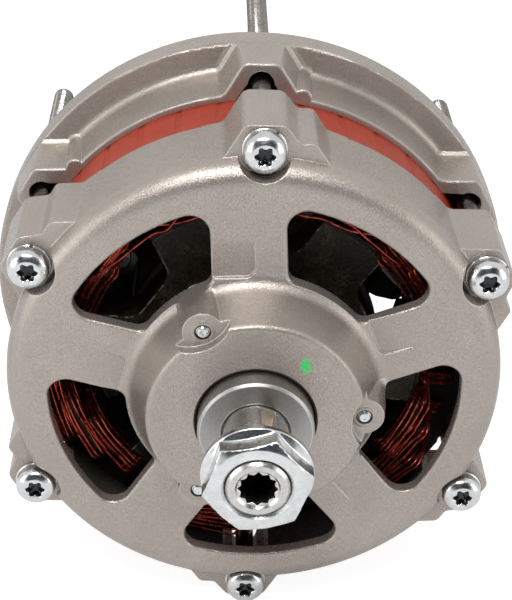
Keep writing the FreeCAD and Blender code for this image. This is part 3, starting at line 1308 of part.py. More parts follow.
def strip_y():
    return Y_POSITIVE_SINK + SINK_PLATE - DIODE_HEIGHT - PHASE_STRIP_GAP


def phase_strips():
    """Copper strips that tie each pair of diode leads to one phase."""
    y1 = strip_y()
    y0 = y1 - PHASE_STRIP
    group = []
    for radius, angle in diode_places("positive"):
        half = PHASE_STRIP_WIDE / 2
        last = angle + DIODE_PAIR_ANGLE
        bar = sector(radius + half, radius - half, angle - STRIP_OVERRUN, last + STRIP_OVERRUN, y0, y1)
        tab_angle = angle + DIODE_PAIR_ANGLE / 2
        reach = PHASE_LEAD_PITCH_R + half - radius
        tab = Part.makeBox(reach, PHASE_STRIP, 2 * half, Vector(radius, y0, -half))
        group.append(join([bar, spin(tab, tab_angle)]))
    return Part.makeCompound(group)


def phase_leads():
    """Sleeved ends of the three phases, from the rear coil ends to the strips."""
    y0 = Y_CORE_REAR + TURN_LEG + TURN_WIDTH
    y1 = strip_y() - PHASE_STRIP
    group = []
    for radius, angle in diode_places("positive"):
        group.append(rod(PHASE_LEAD_R, y0, y1, (PHASE_LEAD_PITCH_R, angle + DIODE_PAIR_ANGLE / 2)))
    return Part.makeCompound(group)


def exciter_carrier():
    y1 = Y_POSITIVE_SINK
    return sector(CARRIER_OUTER_R, CARRIER_INNER_R, CARRIER_FROM, CARRIER_TO, y1 - CARRIER_THICK, y1)


def exciter_diodes():
    y = Y_POSITIVE_SINK - CARRIER_THICK - EXCITER_R
    radius = (CARRIER_INNER_R + CARRIER_OUTER_R) / 2
    step = (CARRIER_TO - CARRIER_FROM) / EXCITER_DIODES
    group = []
    for index in range(EXCITER_DIODES):
        body = Part.makeCylinder(EXCITER_R, EXCITER_LENGTH, Vector(radius - EXCITER_LENGTH / 2, y, 0),
                                 Vector(1, 0, 0))
        group.append(spin(body, CARRIER_FROM + (index + 0.5) * step))
    return Part.makeCompound(group)


def sink_screws():
    group = []
    for angle, radius in SINK_SCREWS:
        at = (radius, angle)
        y_tip = Y_POSITIVE_SINK - SINK_WASHER - SINK_NUT
        group.append(join([rod(SINK_SCREW_R, y_tip, Y_WALL_OUT, at),
                           rod(SINK_SCREW_HEAD_R, Y_WALL_OUT, Y_WALL_OUT + SINK_SCREW_HEAD, at)]))
    return Part.makeCompound(group)


def sink_nuts():
    group = []
    for angle, radius in SINK_SCREWS:
        at = (radius, angle)
        y1 = Y_POSITIVE_SINK - SINK_WASHER
        nut = hexagon(SINK_NUT_FLATS, y1 - SINK_NUT, y1, at)
        group.append(nut.cut(rod(SINK_SCREW_R, y1 - SINK_NUT, y1, at)))
    return Part.makeCompound(group)


def sink_insulators():
    """Bushes between the plates with necks through the positive one, and washers under the nuts."""
    group = []
    for angle, radius in SINK_SCREWS:
        at = (radius, angle)
        bush = join([rod(INSULATOR_R, Y_POSITIVE_SINK + SINK_PLATE, Y_NEGATIVE_SINK, at),
                     rod(INSULATOR_NECK_R, Y_POSITIVE_SINK, Y_POSITIVE_SINK + SINK_PLATE, at)])
        group.append(bush.cut(rod(SINK_SCREW_R, Y_POSITIVE_SINK, Y_NEGATIVE_SINK, at)))
        group.append(tube(INSULATOR_R, SINK_SCREW_R, Y_POSITIVE_SINK - SINK_WASHER, Y_POSITIVE_SINK, at))
    return Part.makeCompound(group)


def stud(at, steps, point):
    """Round post of stacked steps (radius, from, to) with a chamfered end."""
    outline = [(0.0, steps[0][1])]
    for radius, y0, y1 in steps:
        outline += [(radius, y0), (radius, y1)]
    tip_r, _, tip = steps[-1]
    outline[-1] = (tip_r, tip - point)
    outline += [(tip_r - point, tip), (0.0, tip)]
    post = turned(outline)
    x, z = polar(*at)
    post.translate(Vector(x, 0, z))
    return post


def battery_stud():
    """M8 through the sink, the insulator and the nut, then a step down to M6 for the cable's ring."""
    angle, radius = BATTERY_PLACE
    at = (radius, angle)
    y_nut = Y_WALL_OUT + BATTERY_FLANGE + BATTERY_WASHER + BATTERY_NUT
    return stud(at, [(BATTERY_HEAD_R, Y_POSITIVE_SINK - BATTERY_HEAD, Y_POSITIVE_SINK),
                     (BATTERY_SHANK_R, Y_POSITIVE_SINK, y_nut + BATTERY_SHOULDER),
                     (BATTERY_R, y_nut + BATTERY_SHOULDER, Y_WALL_OUT + BATTERY_REACH)], BATTERY_POINT)


def battery_insulator():
    angle, radius = BATTERY_PLACE
    at = (radius, angle)
    y_in = Y_POSITIVE_SINK + SINK_PLATE
    bush = join([rod(BATTERY_NECK_R, y_in, Y_WALL_OUT + BATTERY_FLANGE, at),
                 rod(BATTERY_INSULATOR_R, Y_WALL_OUT, Y_WALL_OUT + BATTERY_FLANGE, at)])
    return bush.cut(rod(BATTERY_SHANK_R, y_in - OVERCUT, Y_WALL_OUT + BATTERY_FLANGE + OVERCUT, at))


def battery_washer():
    angle, radius = BATTERY_PLACE
    y0 = Y_WALL_OUT + BATTERY_FLANGE
    return tube(BATTERY_WASHER_R, BATTERY_SHANK_R, y0, y0 + BATTERY_WASHER, (radius, angle))


def battery_nut():
    angle, radius = BATTERY_PLACE
    y0 = Y_WALL_OUT + BATTERY_FLANGE + BATTERY_WASHER
    nut = hexagon(BATTERY_NUT_FLATS, y0, y0 + BATTERY_NUT, (radius, angle))
    return nut.cut(rod(BATTERY_SHANK_R, y0, y0 + BATTERY_NUT, (radius, angle)))


def terminal_posts():
    """Field and phase terminals: threaded posts that end beside the exciter carrier."""
    y_head = Y_POSITIVE_SINK - TERMINAL_HEAD_GAP
    y_shoulder = Y_WALL_OUT + TERMINAL_FLANGE
    steps = [(TERMINAL_HEAD_R, y_head - TERMINAL_HEAD, y_head), (TERMINAL_SHANK_R, y_head, y_shoulder),
             (TERMINAL_R, y_shoulder, Y_WALL_OUT + TERMINAL_REACH)]
    return Part.makeCompound([stud((radius, angle), steps, TERMINAL_POINT) for angle, radius in TERMINALS])


def terminal_insulators():
    group = []
    for angle, radius in TERMINALS:
        at = (radius, angle)
        y0 = Y_POSITIVE_SINK - TERMINAL_HEAD_GAP
        y1 = Y_WALL_OUT + TERMINAL_FLANGE
        bush = join([rod(TERMINAL_NECK_R, y0, y1, at), rod(TERMINAL_INSULATOR_R, Y_WALL_OUT, y1, at)])
        group.append(bush.cut(rod(TERMINAL_SHANK_R, y0 - OVERCUT, y1 + OVERCUT, at)))
    return Part.makeCompound(group)


def rear_bearing_sleeve():
    return tube(REAR_BORE_R, REAR_BEARING["outer"], Y_REAR_BEARING, Y_REAR_BEARING_END)


def wave_washer():
    outer = REAR_BORE_R - FINE_BREAK
    return tube(outer, outer - WAVE_WASHER_WIDE, Y_REAR_BEARING_END, Y_REAR_BEARING_END + WAVE_WASHER_THICK)


def save(node, shape):
    shape.exportStep("parts/" + node + ".step")


def main():
    os.makedirs("parts", exist_ok=True)
    save("drive_end_housing", front_housing())
    save("slip_ring_end_housing", rear_housing())
    save("stator_core", stator_core())
    save("slot_wedges", slot_wedges())
    for phase, name in enumerate(("u", "v", "w")):
        save("phase_winding_" + name, phase_winding(phase))
    save("phase_leads", phase_leads())
    save("phase_strips", phase_strips())
    front = bearing(FRONT_BEARING, Y_BEARING_FRONT)
    rear = bearing(REAR_BEARING, Y_REAR_BEARING)
    for name, parts in (("front_bearing_", front), ("rear_bearing_", rear)):
        for piece, shape in parts.items():
            save(name + piece, shape)
    save("rear_bearing_sleeve", rear_bearing_sleeve())
    save("rear_wave_washer", wave_washer())
    save("bearing_retainer_plate", retainer_plate())
    save("retainer_screws", retainer_screws())
    save("case_screws", case_screws())
    save("case_screw_washers", case_washers())
    save("rotor_shaft", rotor_shaft())
    save("claw_pole_front", claw_pole(True))
    save("claw_pole_rear", claw_pole(False))
    save("coil_former", coil_former())
    save("field_coil", field_coil())
    save("field_leads", field_leads())
    save("rotor_spacer", rotor_spacer())
    save("spacer_collar", collar())
    save("shaft_nut", shaft_nut())
    save("slip_ring_sleeve", slip_ring_sleeve())
    for index, name in enumerate(("front", "rear")):
        save("slip_ring_" + name, slip_ring(index))
        save("brush_" + name, brush(index))
        save("brush_spring_" + name, brush_spring(index))
    save("brush_holder", brush_holder())
    save("voltage_regulator", voltage_regulator())
    save("brush_holder_screws", holder_screws())
    for kind in ("positive", "negative"):
        save(kind + "_heat_sink", heat_sink(kind))
        save(kind + "_diodes", diodes(kind))
    save("exciter_diode_carrier", exciter_carrier())
    save("exciter_diodes", exciter_diodes())
    save("heat_sink_screws", sink_screws())
    save("heat_sink_nuts", sink_nuts())
    save("heat_sink_insulators", sink_insulators())
    save("battery_stud", battery_stud())
    save("battery_stud_insulator", battery_insulator())
    save("battery_stud_washer", battery_washer())
    save("battery_stud_nut", battery_nut())
    save("terminal_posts", terminal_posts())
    save("terminal_insulators", terminal_insulators())


main()
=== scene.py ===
import json
import math
import random

import bmesh
import bpy
from mathutils import Matrix, Vector


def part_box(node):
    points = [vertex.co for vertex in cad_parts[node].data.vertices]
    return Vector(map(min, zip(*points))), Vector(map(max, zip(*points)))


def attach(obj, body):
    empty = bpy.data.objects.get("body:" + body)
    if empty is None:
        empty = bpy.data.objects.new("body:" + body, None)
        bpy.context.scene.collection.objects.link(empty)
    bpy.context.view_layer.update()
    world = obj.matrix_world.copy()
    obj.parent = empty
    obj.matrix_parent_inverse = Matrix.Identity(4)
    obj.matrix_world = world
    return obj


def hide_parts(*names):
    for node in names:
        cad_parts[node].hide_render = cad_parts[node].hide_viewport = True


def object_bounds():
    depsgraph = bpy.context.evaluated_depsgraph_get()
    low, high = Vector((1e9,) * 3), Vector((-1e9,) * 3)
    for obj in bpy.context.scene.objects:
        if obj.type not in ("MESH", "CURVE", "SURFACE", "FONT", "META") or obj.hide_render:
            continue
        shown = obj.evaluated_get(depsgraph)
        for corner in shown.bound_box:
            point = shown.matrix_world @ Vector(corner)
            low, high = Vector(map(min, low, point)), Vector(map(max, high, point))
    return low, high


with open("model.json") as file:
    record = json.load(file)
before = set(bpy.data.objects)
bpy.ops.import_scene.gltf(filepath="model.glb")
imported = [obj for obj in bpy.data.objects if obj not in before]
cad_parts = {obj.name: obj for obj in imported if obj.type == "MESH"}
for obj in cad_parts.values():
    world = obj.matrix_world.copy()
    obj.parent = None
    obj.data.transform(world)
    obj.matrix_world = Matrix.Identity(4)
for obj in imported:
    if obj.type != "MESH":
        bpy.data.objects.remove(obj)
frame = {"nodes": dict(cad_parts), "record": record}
cad_low, cad_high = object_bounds()
nodes = frame["nodes"]

# Shapes are written in millimetres in the frame's own axes: the shaft lies along Y with its drive end
# at -Y. The camera, the lamps, the floor, the card, bevel radii and bump heights are in metres.
MM = 0.001
SHARP = 32.0

HUB_FACE_Y = -82.9
SCREW_RING_R = 67.7
SCREW_ANGLES = tuple(90.0 + 60.0 * index for index in range(6))
RETAINER_RING_R = 28.2
RETAINER_ANGLES = (0.0, 120.0, 240.0)

materials = {}


def along_y(box):
    """Lowest and highest y of a box, in millimetres."""
    low, high = box
    return low.y / MM, high.y / MM


def ring_point(radius, angle, y, across=0.0):
    """Point at an angle from +X towards +Z, moved sideways along the circle by across."""
    turn = math.radians(angle)
    return Vector((radius * math.cos(turn) - across * math.sin(turn), y,
                   radius * math.sin(turn) + across * math.cos(turn)))


# Camera, floor and light

CAMERA_SENSOR = 36.0
CAMERA_LENS = 96.798
CAMERA_CLIP = (0.01, 50.0)
CAMERA_AT = (-0.015807, -0.424147, 0.233983)
CAMERA_RIGHT = (0.99903507, -0.01965974, 0.03927368)
CAMERA_UP = (-0.0240839, 0.50255338, 0.86421066)
CAMERA_BACK = (-0.03672728, -0.86432262, 0.50159497)

LAMP_TARGET = (0.0, -0.04, 0.0)
LAMPS = [  # name, place, width, height, power
    ("overhead", (-0.15, -0.52, 0.86), 0.5, 0.22, 6.6),
    ("front_left", (-1.05, -0.58, 0.25), 0.5, 0.8, 3.1),
    ("front_right", (1.05, -0.55, 0.2), 0.4, 0.8, 2.5),
]

WHITE = (1.0, 1.0, 1.0, 1.0)
AMBIENT = ((0.97, 0.98, 1.0, 1.0), 0.56)
MIRRORED = ((1.0, 0.99, 0.975, 1.0), 0.86)

FLOOR_HALF = 6.0
FLOOR_DROP = 0.0002
FLOOR_COLOUR = (0.86, 0.86, 0.86, 1.0)
FLOOR_GLOW = 1.45
FLOOR_GLOW_SHARE = 0.6

CARD_CORNERS = [(-0.9, -0.95, 0.12), (0.9, -0.95, 0.12), (0.9, -0.75, 1.05), (-0.9, -0.75, 1.05)]
CARD_COLOUR = (0.5, 0.6, 0.8, 1.0)
CARD_GLOW = 0.06


def make_camera():
    data = bpy.data.cameras.new("camera")
    data.sensor_width = CAMERA_SENSOR
    data.lens = CAMERA_LENS
    data.clip_start, data.clip_end = CAMERA_CLIP
    camera = bpy.data.objects.new("camera", data)
    bpy.context.scene.collection.objects.link(camera)
    turn = Matrix((CAMERA_RIGHT, CAMERA_UP, CAMERA_BACK)).transposed().to_4x4()
    camera.matrix_world = Matrix.Translation(CAMERA_AT) @ turn
    bpy.context.scene.camera = camera


def make_lamps():
    for name, place, width, height, power in LAMPS:
        data = bpy.data.lights.new(name, "AREA")
        data.shape = "RECTANGLE"
        data.size = width
        data.size_y = height
        data.energy = power
        light = bpy.data.objects.new(name, data)
        bpy.context.scene.collection.objects.link(light)
        light.location = place
        light.rotation_mode = "QUATERNION"
        light.rotation_quaternion = (Vector(LAMP_TARGET) - Vector(place)).to_track_quat("-Z", "Y")


def rgba(value):
    """Colour with alpha, from one number, three or four."""
    if isinstance(value, (int, float)):
        value = (value, value, value)
    return value if len(value) == 4 else (*value, 1.0)


class Tree:
    """Node tree of one material or world, with short calls for the nodes used here."""

    def __init__(self, tree, output):
        self.tree = tree
        self.tree.nodes.clear()
        self.output = self.add(output)

    def add(self, kind, inputs=None, **settings):
        node = self.tree.nodes.new(kind)
        for key, value in settings.items():
            setattr(node, key, value)
        for key, value in (inputs or {}).items():
            self.put(node.inputs[key], value)
        return node

    def put(self, socket, value):
        """Link another socket to this one, or set this one to a plain value."""
        if isinstance(value, bpy.types.NodeSocket):
            self.tree.links.new(value, socket)
        else:
            socket.default_value = value

    def surface(self, node):
        self.put(self.output.inputs[0], node.outputs[0])

    def math(self, operation, a, b=0.0, clamp=False):
        return self.add("ShaderNodeMath", {0: a, 1: b}, operation=operation, use_clamp=clamp).outputs[0]

    def vector_math(self, operation, a, b=(0.0, 0.0, 0.0), output=0):
        return self.add("ShaderNodeVectorMath", {0: a, 1: b}, operation=operation).outputs[output]

    def product(self, first, *masks):
        for mask in masks:
            first = self.math("MULTIPLY", first, mask)
        return first

    def without(self, mask):
        return self.math("SUBTRACT", 1.0, mask)

    def ramp(self, factor, stops):
        """Colour ramp whose stops are a place with a colour or a number."""
        node = self.add("ShaderNodeValToRGB", {"Fac": factor})
        elements = node.color_ramp.elements
        while len(elements) < len(stops):
            elements.new(0.5)
        for element, (place, value) in zip(elements, stops):
            element.position = place
            element.color = rgba(value)
        return node.outputs["Color"]

    def spread(self, noise, low, high):
        """Two colours or numbers spread over the middle of a noise."""
        return self.ramp(noise, [(0.3, low), (0.7, high)])

    def mix(self, factor, a, b, blend="MIX"):
        node = self.add("ShaderNodeMix", data_type="RGBA", blend_type=blend)
        for index, value in ((0, factor), (6, a), (7, b)):
            if index and not isinstance(value, bpy.types.NodeSocket):
                value = rgba(value)
            self.put(node.inputs[index], value)
        return node.outputs[2]

    def mix_shaders(self, factor, first, second):
        return self.add("ShaderNodeMixShader", {0: factor, 1: first.outputs[0], 2: second.outputs[0]})

    def seen_directly(self, path):
        """Mask of the rays that show the background itself: the camera's, also through glass."""
        return self.math("MAXIMUM", path.outputs["Is Camera Ray"], path.outputs["Is Transmission Ray"])

    def place(self, stretch=1.0):
        """Object coordinates in millimetres, with detail packed closer along Y by the stretch."""
        coordinates = self.add("ShaderNodeTexCoord").outputs["Object"]
        scale = (1 / MM, stretch / MM, 1 / MM)
        return self.add("ShaderNodeMapping", {"Vector": coordinates, "Scale": scale}).outputs[0]

    def within(self, vector, centre, reach, soft):
        """Mask that is 1 inside an ellipsoid about a place, soft towards its edge."""
        share = self.vector_math("DIVIDE", self.vector_math("SUBTRACT", vector, centre), reach)
        far = self.vector_math("LENGTH", share, output="Value")
        return self.math("DIVIDE", self.without(far), soft, clamp=True)

    def off_axis(self, vector):
        """Distance from the shaft axis and place along it."""
        across = self.vector_math("MULTIPLY", vector, (1.0, 0.0, 1.0))
        along = self.add("ShaderNodeSeparateXYZ", {0: vector}).outputs["Y"]
        return self.vector_math("LENGTH", across, output="Value"), along

    def noise(self, vector, scale, detail=2.0, roughness=0.5):
        return self.add("ShaderNodeTexNoise", {"Vector": vector, "Scale": scale, "Detail": detail,
                                               "Roughness": roughness}).outputs["Fac"]

    def bump(self, height, distance, strength, normal=None):
        inputs = {"Height": height, "Distance": distance, "Strength": strength}
        if normal is not None:
            inputs["Normal"] = normal
        return self.add("ShaderNodeBump", inputs).outputs["Normal"]

    def edge(self, radius, reach=0.12):
        """(rounded normal, mask that is 1 on edges within that radius)."""
        rounded = self.add("ShaderNodeBevel", {"Radius": radius}, samples=6).outputs["Normal"]
        flat = self.add("ShaderNodeNewGeometry").outputs["Normal"]
        bend = self.without(self.vector_math("DOT_PRODUCT", rounded, flat, output="Value"))
        return rounded, self.math("DIVIDE", bend, reach, clamp=True)


def new_material(name):
    material = bpy.data.materials.new(name)
    material.use_nodes = True
    tree = Tree(material.node_tree, "ShaderNodeOutputMaterial")
    shader = tree.add("ShaderNodeBsdfPrincipled")
    tree.surface(shader)
    return material, tree, shader


def wire_up(tree, shader, **sockets):
    for key, value in sockets.items():
        tree.put(shader.inputs[key.replace("_", " ")], value)


def make_world():
    """White where the camera sees it, a little dimmer in mirrors, and dim and cool as light."""
    world = bpy.data.worlds.new("studio")
    bpy.context.scene.world = world
    world.use_nodes = True
    tree = Tree(world.node_tree, "ShaderNodeOutputWorld")
    path = tree.add("ShaderNodeLightPath")
    ambient, mirrored, white = (tree.add("ShaderNodeBackground", {"Color": colour, "Strength": strength})
                                for colour, strength in (AMBIENT, MIRRORED, (WHITE, 1.0)))
    sides = tree.mix_shaders(path.outputs["Is Glossy Ray"], ambient, mirrored)
    tree.surface(tree.mix_shaders(tree.seen_directly(path), sides, white))


def stage_sheet(name, corners, material):
    """Flat sheet of the studio, not part of the object."""
    mesh = bpy.data.meshes.new(name)
    mesh.from_pydata(corners, [], [(0, 1, 2, 3)])
    mesh.materials.append(material)
    sheet = bpy.data.objects.new(name, mesh)
    bpy.context.scene.collection.objects.link(sheet)
    return sheet


def make_floor():
    """White floor that keeps the object's shadow."""
    material, tree, shader = new_material("pale_floor")
    wire_up(tree, shader, Base_Color=FLOOR_COLOUR, Roughness=0.9, Specular_IOR_Level=0.0)
    path = tree.add("ShaderNodeLightPath")
    glow = tree.add("ShaderNodeEmission", {"Color": WHITE, "Strength": FLOOR_GLOW})
    pale = tree.mix_shaders(FLOOR_GLOW_SHARE, shader, glow)
    tree.surface(tree.mix_shaders(tree.seen_directly(path), shader, pale))
    low = cad_low.z - FLOOR_DROP
    corners = [(-FLOOR_HALF, -FLOOR_HALF, low), (FLOOR_HALF, -FLOOR_HALF, low),
               (FLOOR_HALF, FLOOR_HALF, low), (-FLOOR_HALF, FLOOR_HALF, low)]
    stage_sheet("floor", corners, material)


def make_card():
    """Dark card behind the camera, seen only in reflections: the unlit side of the studio."""
    material, tree, _ = new_material("dark_cloth")
    tree.surface(tree.add("ShaderNodeEmission", {"Color": CARD_COLOUR, "Strength": CARD_GLOW}))
    card = stage_sheet("dark_card", CARD_CORNERS, material)
    card.visible_camera = False
    card.visible_diffuse = False
    card.visible_shadow = False
    card.visible_transmission = False


# Materials

# Marks on the front housing: painted shade inside it and in the gaps around the collar and the retainer
# screws, and the inspector's dab.
SHADE_INSIDE_R = 61.6
SHADE_INSIDE_Y = (-64.3, -12.0)
COLLAR_GAP_R = 15.95
COLLAR_GAP_Y = HUB_FACE_Y + 0.6
RETAINER_GAP_Y = -79.9
RETAINER_GAP = (2.35, 1.6, 2.35)
DAB_AT = (12.0, HUB_FACE_Y, 17.0)
DAB_REACH = (1.5, 1.2, 2.6)

PAINT_FROM_R = 60.0
PAINT_EDGE = 0.4
PAINT_FROM_FRONT = 0.05
LAMINATION = 0.65
COIL_PITCH = 0.75

DRIVE_MIDDLE = 2.1
DRIVE_REACH = (2.85, 1.75, 2.85)
HEAD_DEPTH = 4.6

SOCKET_R = 5.4
SOCKET_SHADE_FROM = 1.4
SOCKET_SHADE_FADE = 3.4
KEYWAY_FLOOR_R = 8.35
KEYWAY_FROM_TIP = (9.5, 23.6)

# Colours are linear red, green and blue; a pair is the darkest and the lightest of a surface.
ALUMINIUM = ((0.365, 0.322, 0.288), (0.410, 0.366, 0.330))
ALUMINIUM_PIT = (0.84, 0.83, 0.82)
ALUMINIUM_PEAK = (1.12, 1.12, 1.12)
ALUMINIUM_WEAR_AND_HIGHLIGHT = (0.78, 0.76, 0.73)
DAB_GREEN = (0.035, 0.55, 0.12)
INNER_PAINTED_SHADE = (0.012, 0.010, 0.008)
COLLAR_GAP_PAINTED_SHADE = (0.018, 0.007, 0.005)
RETAINER_GAP_SHADE = (0.02, 0.018, 0.016)
RED_PAINT = ((0.27, 0.024, 0.009), (0.36, 0.036, 0.014))
RED_PAINT_SKIN = (0.42, 0.058, 0.026)
BARE_STACK = ((0.006, 0.004, 0.003), (0.020, 0.012, 0.008))
CLAW_CHIPS_AND_HIGHLIGHT = (0.42, 0.40, 0.36)
COIL_GROOVE = (0.02, 0.006, 0.004)
SCREW_ZINC = ((0.60, 0.61, 0.62), (0.74, 0.75, 0.75))
ZINC_WORN = (0.86, 0.87, 0.88)
SCREW_SHANK = ((0.20, 0.19, 0.18), (0.34, 0.33, 0.31))
DRIVE_PAINTED_SHADE = (0.02, 0.02, 0.022)
GROUND_STEEL = ((0.50, 0.49, 0.47), (0.66, 0.65, 0.63))
GROUND_WORN = (0.85, 0.85, 0.84)
SOCKET_PAINTED_SHADE = (0.012, 0.012, 0.013)
KEYWAY_RUST = (0.34, 0.27, 0.19)

# Colours that change along a noise, each at its place on it.
THICK_VARNISH = [(0.35, (0.004, 0.003, 0.002)), (0.72, (0.028, 0.022, 0.012))]
THIN_VARNISH = [(0.4, (0.008, 0.006, 0.004)), (0.66, (0.13, 0.105, 0.058))]
ENAMEL = [(0.26, (0.08, 0.009, 0.006)), (0.44, (0.42, 0.055, 0.034)), (0.74, (0.74, 0.15, 0.095))]
COIL_WIRE = [(0.3, (0.20, 0.05, 0.03)), (0.75, (0.34, 0.085, 0.051))]


def cast_aluminium():
    """Blasted die-cast aluminium: warm grey, fine grain, edges lightened as wear and as painted highlight,
    and painted shade inside.
    """
    material, tree, shader = new_material("cast_aluminium_blasted")
    mm = tree.place()
    radius, along = tree.off_axis(mm)
    rounded, worn = tree.edge(0.00055)
    grain = tree.noise(mm, 2.6, 3.0, 0.65)
    cloud = tree.noise(mm, 0.05, 3.0, 0.55)
    base = tree.spread(cloud, *ALUMINIUM)
    base = tree.mix(tree.ramp(grain, [(0.35, 0.0), (0.65, 1.0)]),
                    tree.mix(1.0, base, ALUMINIUM_PIT, "MULTIPLY"),
                    tree.mix(1.0, base, ALUMINIUM_PEAK, "MULTIPLY"))
    # Edges are lightened as rubbed wear and also as a painted highlight along the fillets, concave ones too.
    base = tree.mix(tree.math("MULTIPLY", worn, 0.55), base, ALUMINIUM_WEAR_AND_HIGHLIGHT)

    spark = tree.ramp(tree.noise(mm, 5.5, 1.0, 0.5), [(0.66, 0.0), (0.72, 1.0)])
    rough = tree.mix(spark, tree.spread(grain, 0.31, 0.22), 0.22)

    brushed = tree.ramp(tree.noise(mm, 0.9, 2.0, 0.6), [(0.36, 0.0), (0.48, 1.0)])
    dab = tree.product(tree.within(mm, DAB_AT, DAB_REACH, 0.25), brushed)
    base = tree.mix(dab, base, DAB_GREEN)

    # Painted shade: the casting's inner wall, which lies deep in shade, is painted near-black.
    painted_shade_inside = tree.product(tree.math("LESS_THAN", radius, SHADE_INSIDE_R),
                          tree.math("GREATER_THAN", along, SHADE_INSIDE_Y[0]),
                          tree.math("LESS_THAN", along, SHADE_INSIDE_Y[1]))
    base = tree.mix(tree.math("MULTIPLY", painted_shade_inside, 0.9), base, INNER_PAINTED_SHADE)

    # Painted shade: the casting around the collar is painted dark brown where the gap lies in shade.
    gap = tree.product(tree.math("LESS_THAN", radius, COLLAR_GAP_R),
                       tree.math("LESS_THAN", along, COLLAR_GAP_Y))
    base = tree.mix(gap, base, COLLAR_GAP_PAINTED_SHADE)
    rough = tree.mix(gap, rough, 0.9)

    # Painted shade: a dark ring on the casting around each retainer screw's tip stands in for the gap there.
    for angle in RETAINER_ANGLES:
        centre = ring_point(RETAINER_RING_R, angle, RETAINER_GAP_Y)
        base = tree.mix(tree.within(mm, tuple(centre), RETAINER_GAP, 0.14), base, RETAINER_GAP_SHADE)

    bare = tree.product(tree.without(tree.math("MAXIMUM", painted_shade_inside, gap)), tree.without(dab))
    normal = tree.bump(grain, 0.00018, 0.62, rounded)
    normal = tree.bump(cloud, 0.0012, 0.25, normal)
    wire_up(tree, shader, Base_Color=base, Metallic=tree.math("MULTIPLY", bare, 0.66),
            Roughness=rough, Normal=normal)
    return material


def painted_stack():
    """Red paint over stacked laminations: fine rings across the stack and a satin skin."""
    material, tree, shader = new_material("stator_red_paint")
    mm = tree.place()
    radius, along = tree.off_axis(mm)
    skin = tree.noise(mm, 1.2, 3.0, 0.6)
    wobble = tree.noise(mm, 0.35, 2.0, 0.6)
    red = tree.spread(wobble, *RED_PAINT)
    red = tree.mix(tree.ramp(skin, [(0.35, 0.0), (0.7, 0.45)]), red, RED_PAINT_SKIN)
    bare = tree.spread(skin, *BARE_STACK)
    front, _ = along_y(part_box("stator_core"))
    outside = tree.math("DIVIDE", tree.math("SUBTRACT", radius, PAINT_FROM_R), PAINT_EDGE, clamp=True)
    painted = tree.product(outside, tree.math("GREATER_THAN", along, front + PAINT_FROM_FRONT))
    rings = tree.math("SINE", tree.math("MULTIPLY", along, 2 * math.pi / LAMINATION))
    height = tree.math("ADD", tree.math("MULTIPLY", rings, 0.35), tree.math("MULTIPLY", skin, 1.3))
    wire_up(tree, shader, Base_Color=tree.mix(painted, bare, red), Roughness=tree.spread(skin, 0.34, 0.52),
            Normal=tree.bump(height, 0.00006, 0.8), Specular_IOR_Level=0.3)
    return material


def metal(name, dark, light, roughness, grain=1.5, edge=0.0003, worn_colour=None, stretch=1.0):
    """Plain metal with a fine grain, which a stretch draws out around the shaft."""
    material, tree, shader = new_material(name)
    rounded, worn = tree.edge(edge)
    fine = tree.noise(tree.place(stretch), grain, 3.0, 0.6)
    colour = tree.spread(fine, dark, light)
    if worn_colour:
        colour = tree.mix(worn, colour, worn_colour)
    wire_up(tree, shader, Base_Color=colour, Metallic=1.0, Roughness=tree.spread(fine, *roughness),
            Normal=tree.bump(fine, 0.00002, 0.6, rounded))
    return material


def dark_rotor():
    """Forged claws under dark varnish, brownish where it is thin, chipped along the edges, where the chip
    colour also serves as a painted highlight.
    """
    material, tree, shader = new_material("rotor_varnish")
    mm = tree.place()
    rounded, worn = tree.edge(0.0008, 0.16)
    grain = tree.noise(mm, 1.3, 4.0, 0.75)
    patch = tree.noise(mm, 0.16, 3.0, 0.6)
    thick = tree.ramp(grain, THICK_VARNISH)
    thin = tree.ramp(grain, THIN_VARNISH)
    colour = tree.mix(tree.ramp(patch, [(0.46, 0.0), (0.68, 0.55)]), thick, thin)
    flaked = tree.ramp(tree.noise(mm, 0.45, 2.0, 0.6), [(0.48, 0.0), (0.60, 1.0)])
    # Chips along the edges, painted lighter also as a highlight on the claw edges.
    colour = tree.mix(tree.product(worn, flaked), colour, CLAW_CHIPS_AND_HIGHLIGHT)
    wire_up(tree, shader, Base_Color=colour, Roughness=tree.spread(grain, 0.22, 0.5),
            Normal=tree.bump(grain, 0.0003, 0.8, rounded), Specular_IOR_Level=0.22)
    return material


def enamel_wire():
    """Copper wire in red enamel with dark varnish pooled on it."""
    material, tree, shader = new_material("red_enamel_wire")
    mm = tree.place()
    pool = tree.noise(mm, 0.28, 3.0, 0.6)
    fine = tree.noise(mm, 1.8, 2.0, 0.5)
    colour = tree.ramp(pool, ENAMEL)
    wire_up(tree, shader, Base_Color=colour, Metallic=0.85, Roughness=tree.spread(fine, 0.24, 0.30),
            Normal=tree.bump(fine, 0.00001, 0.3))
    return material


def coil_turns():
    """Turns of varnished wire side by side along the shaft."""
    material, tree, shader = new_material("coil_turns")
    mm = tree.place()
    _, along = tree.off_axis(mm)
    turns = tree.math("ABSOLUTE", tree.math("SINE", tree.math("MULTIPLY", along, math.pi / COIL_PITCH)))
    patch = tree.noise(mm, 0.3, 3.0, 0.6)
    wire = tree.ramp(patch, COIL_WIRE)
    wire_up(tree, shader, Base_Color=tree.mix(turns, COIL_GROOVE, wire), Roughness=0.35,
            Metallic=0.3, Normal=tree.bump(turns, 0.0004, 0.8), Coat_Weight=0.4, Coat_Roughness=0.2)
    return material


def moulded(name, dark, light, roughness, edge_colour=None):
    """Moulded plastic, paper or resin with a fine surface grain."""
    material, tree, shader = new_material(name)
    mm = tree.place()
    rounded, worn = tree.edge(0.0004)
    fine = tree.noise(mm, 3.0, 3.0, 0.6)
    colour = tree.spread(tree.noise(mm, 0.15, 2.0, 0.5), dark, light)
    if edge_colour:
        colour = tree.mix(tree.math("MULTIPLY", worn, 0.6), colour, edge_colour)
    wire_up(tree, shader, Base_Color=colour, Roughness=tree.spread(fine, *roughness),
            Normal=tree.bump(fine, 0.00004, 0.6, rounded))
    return material


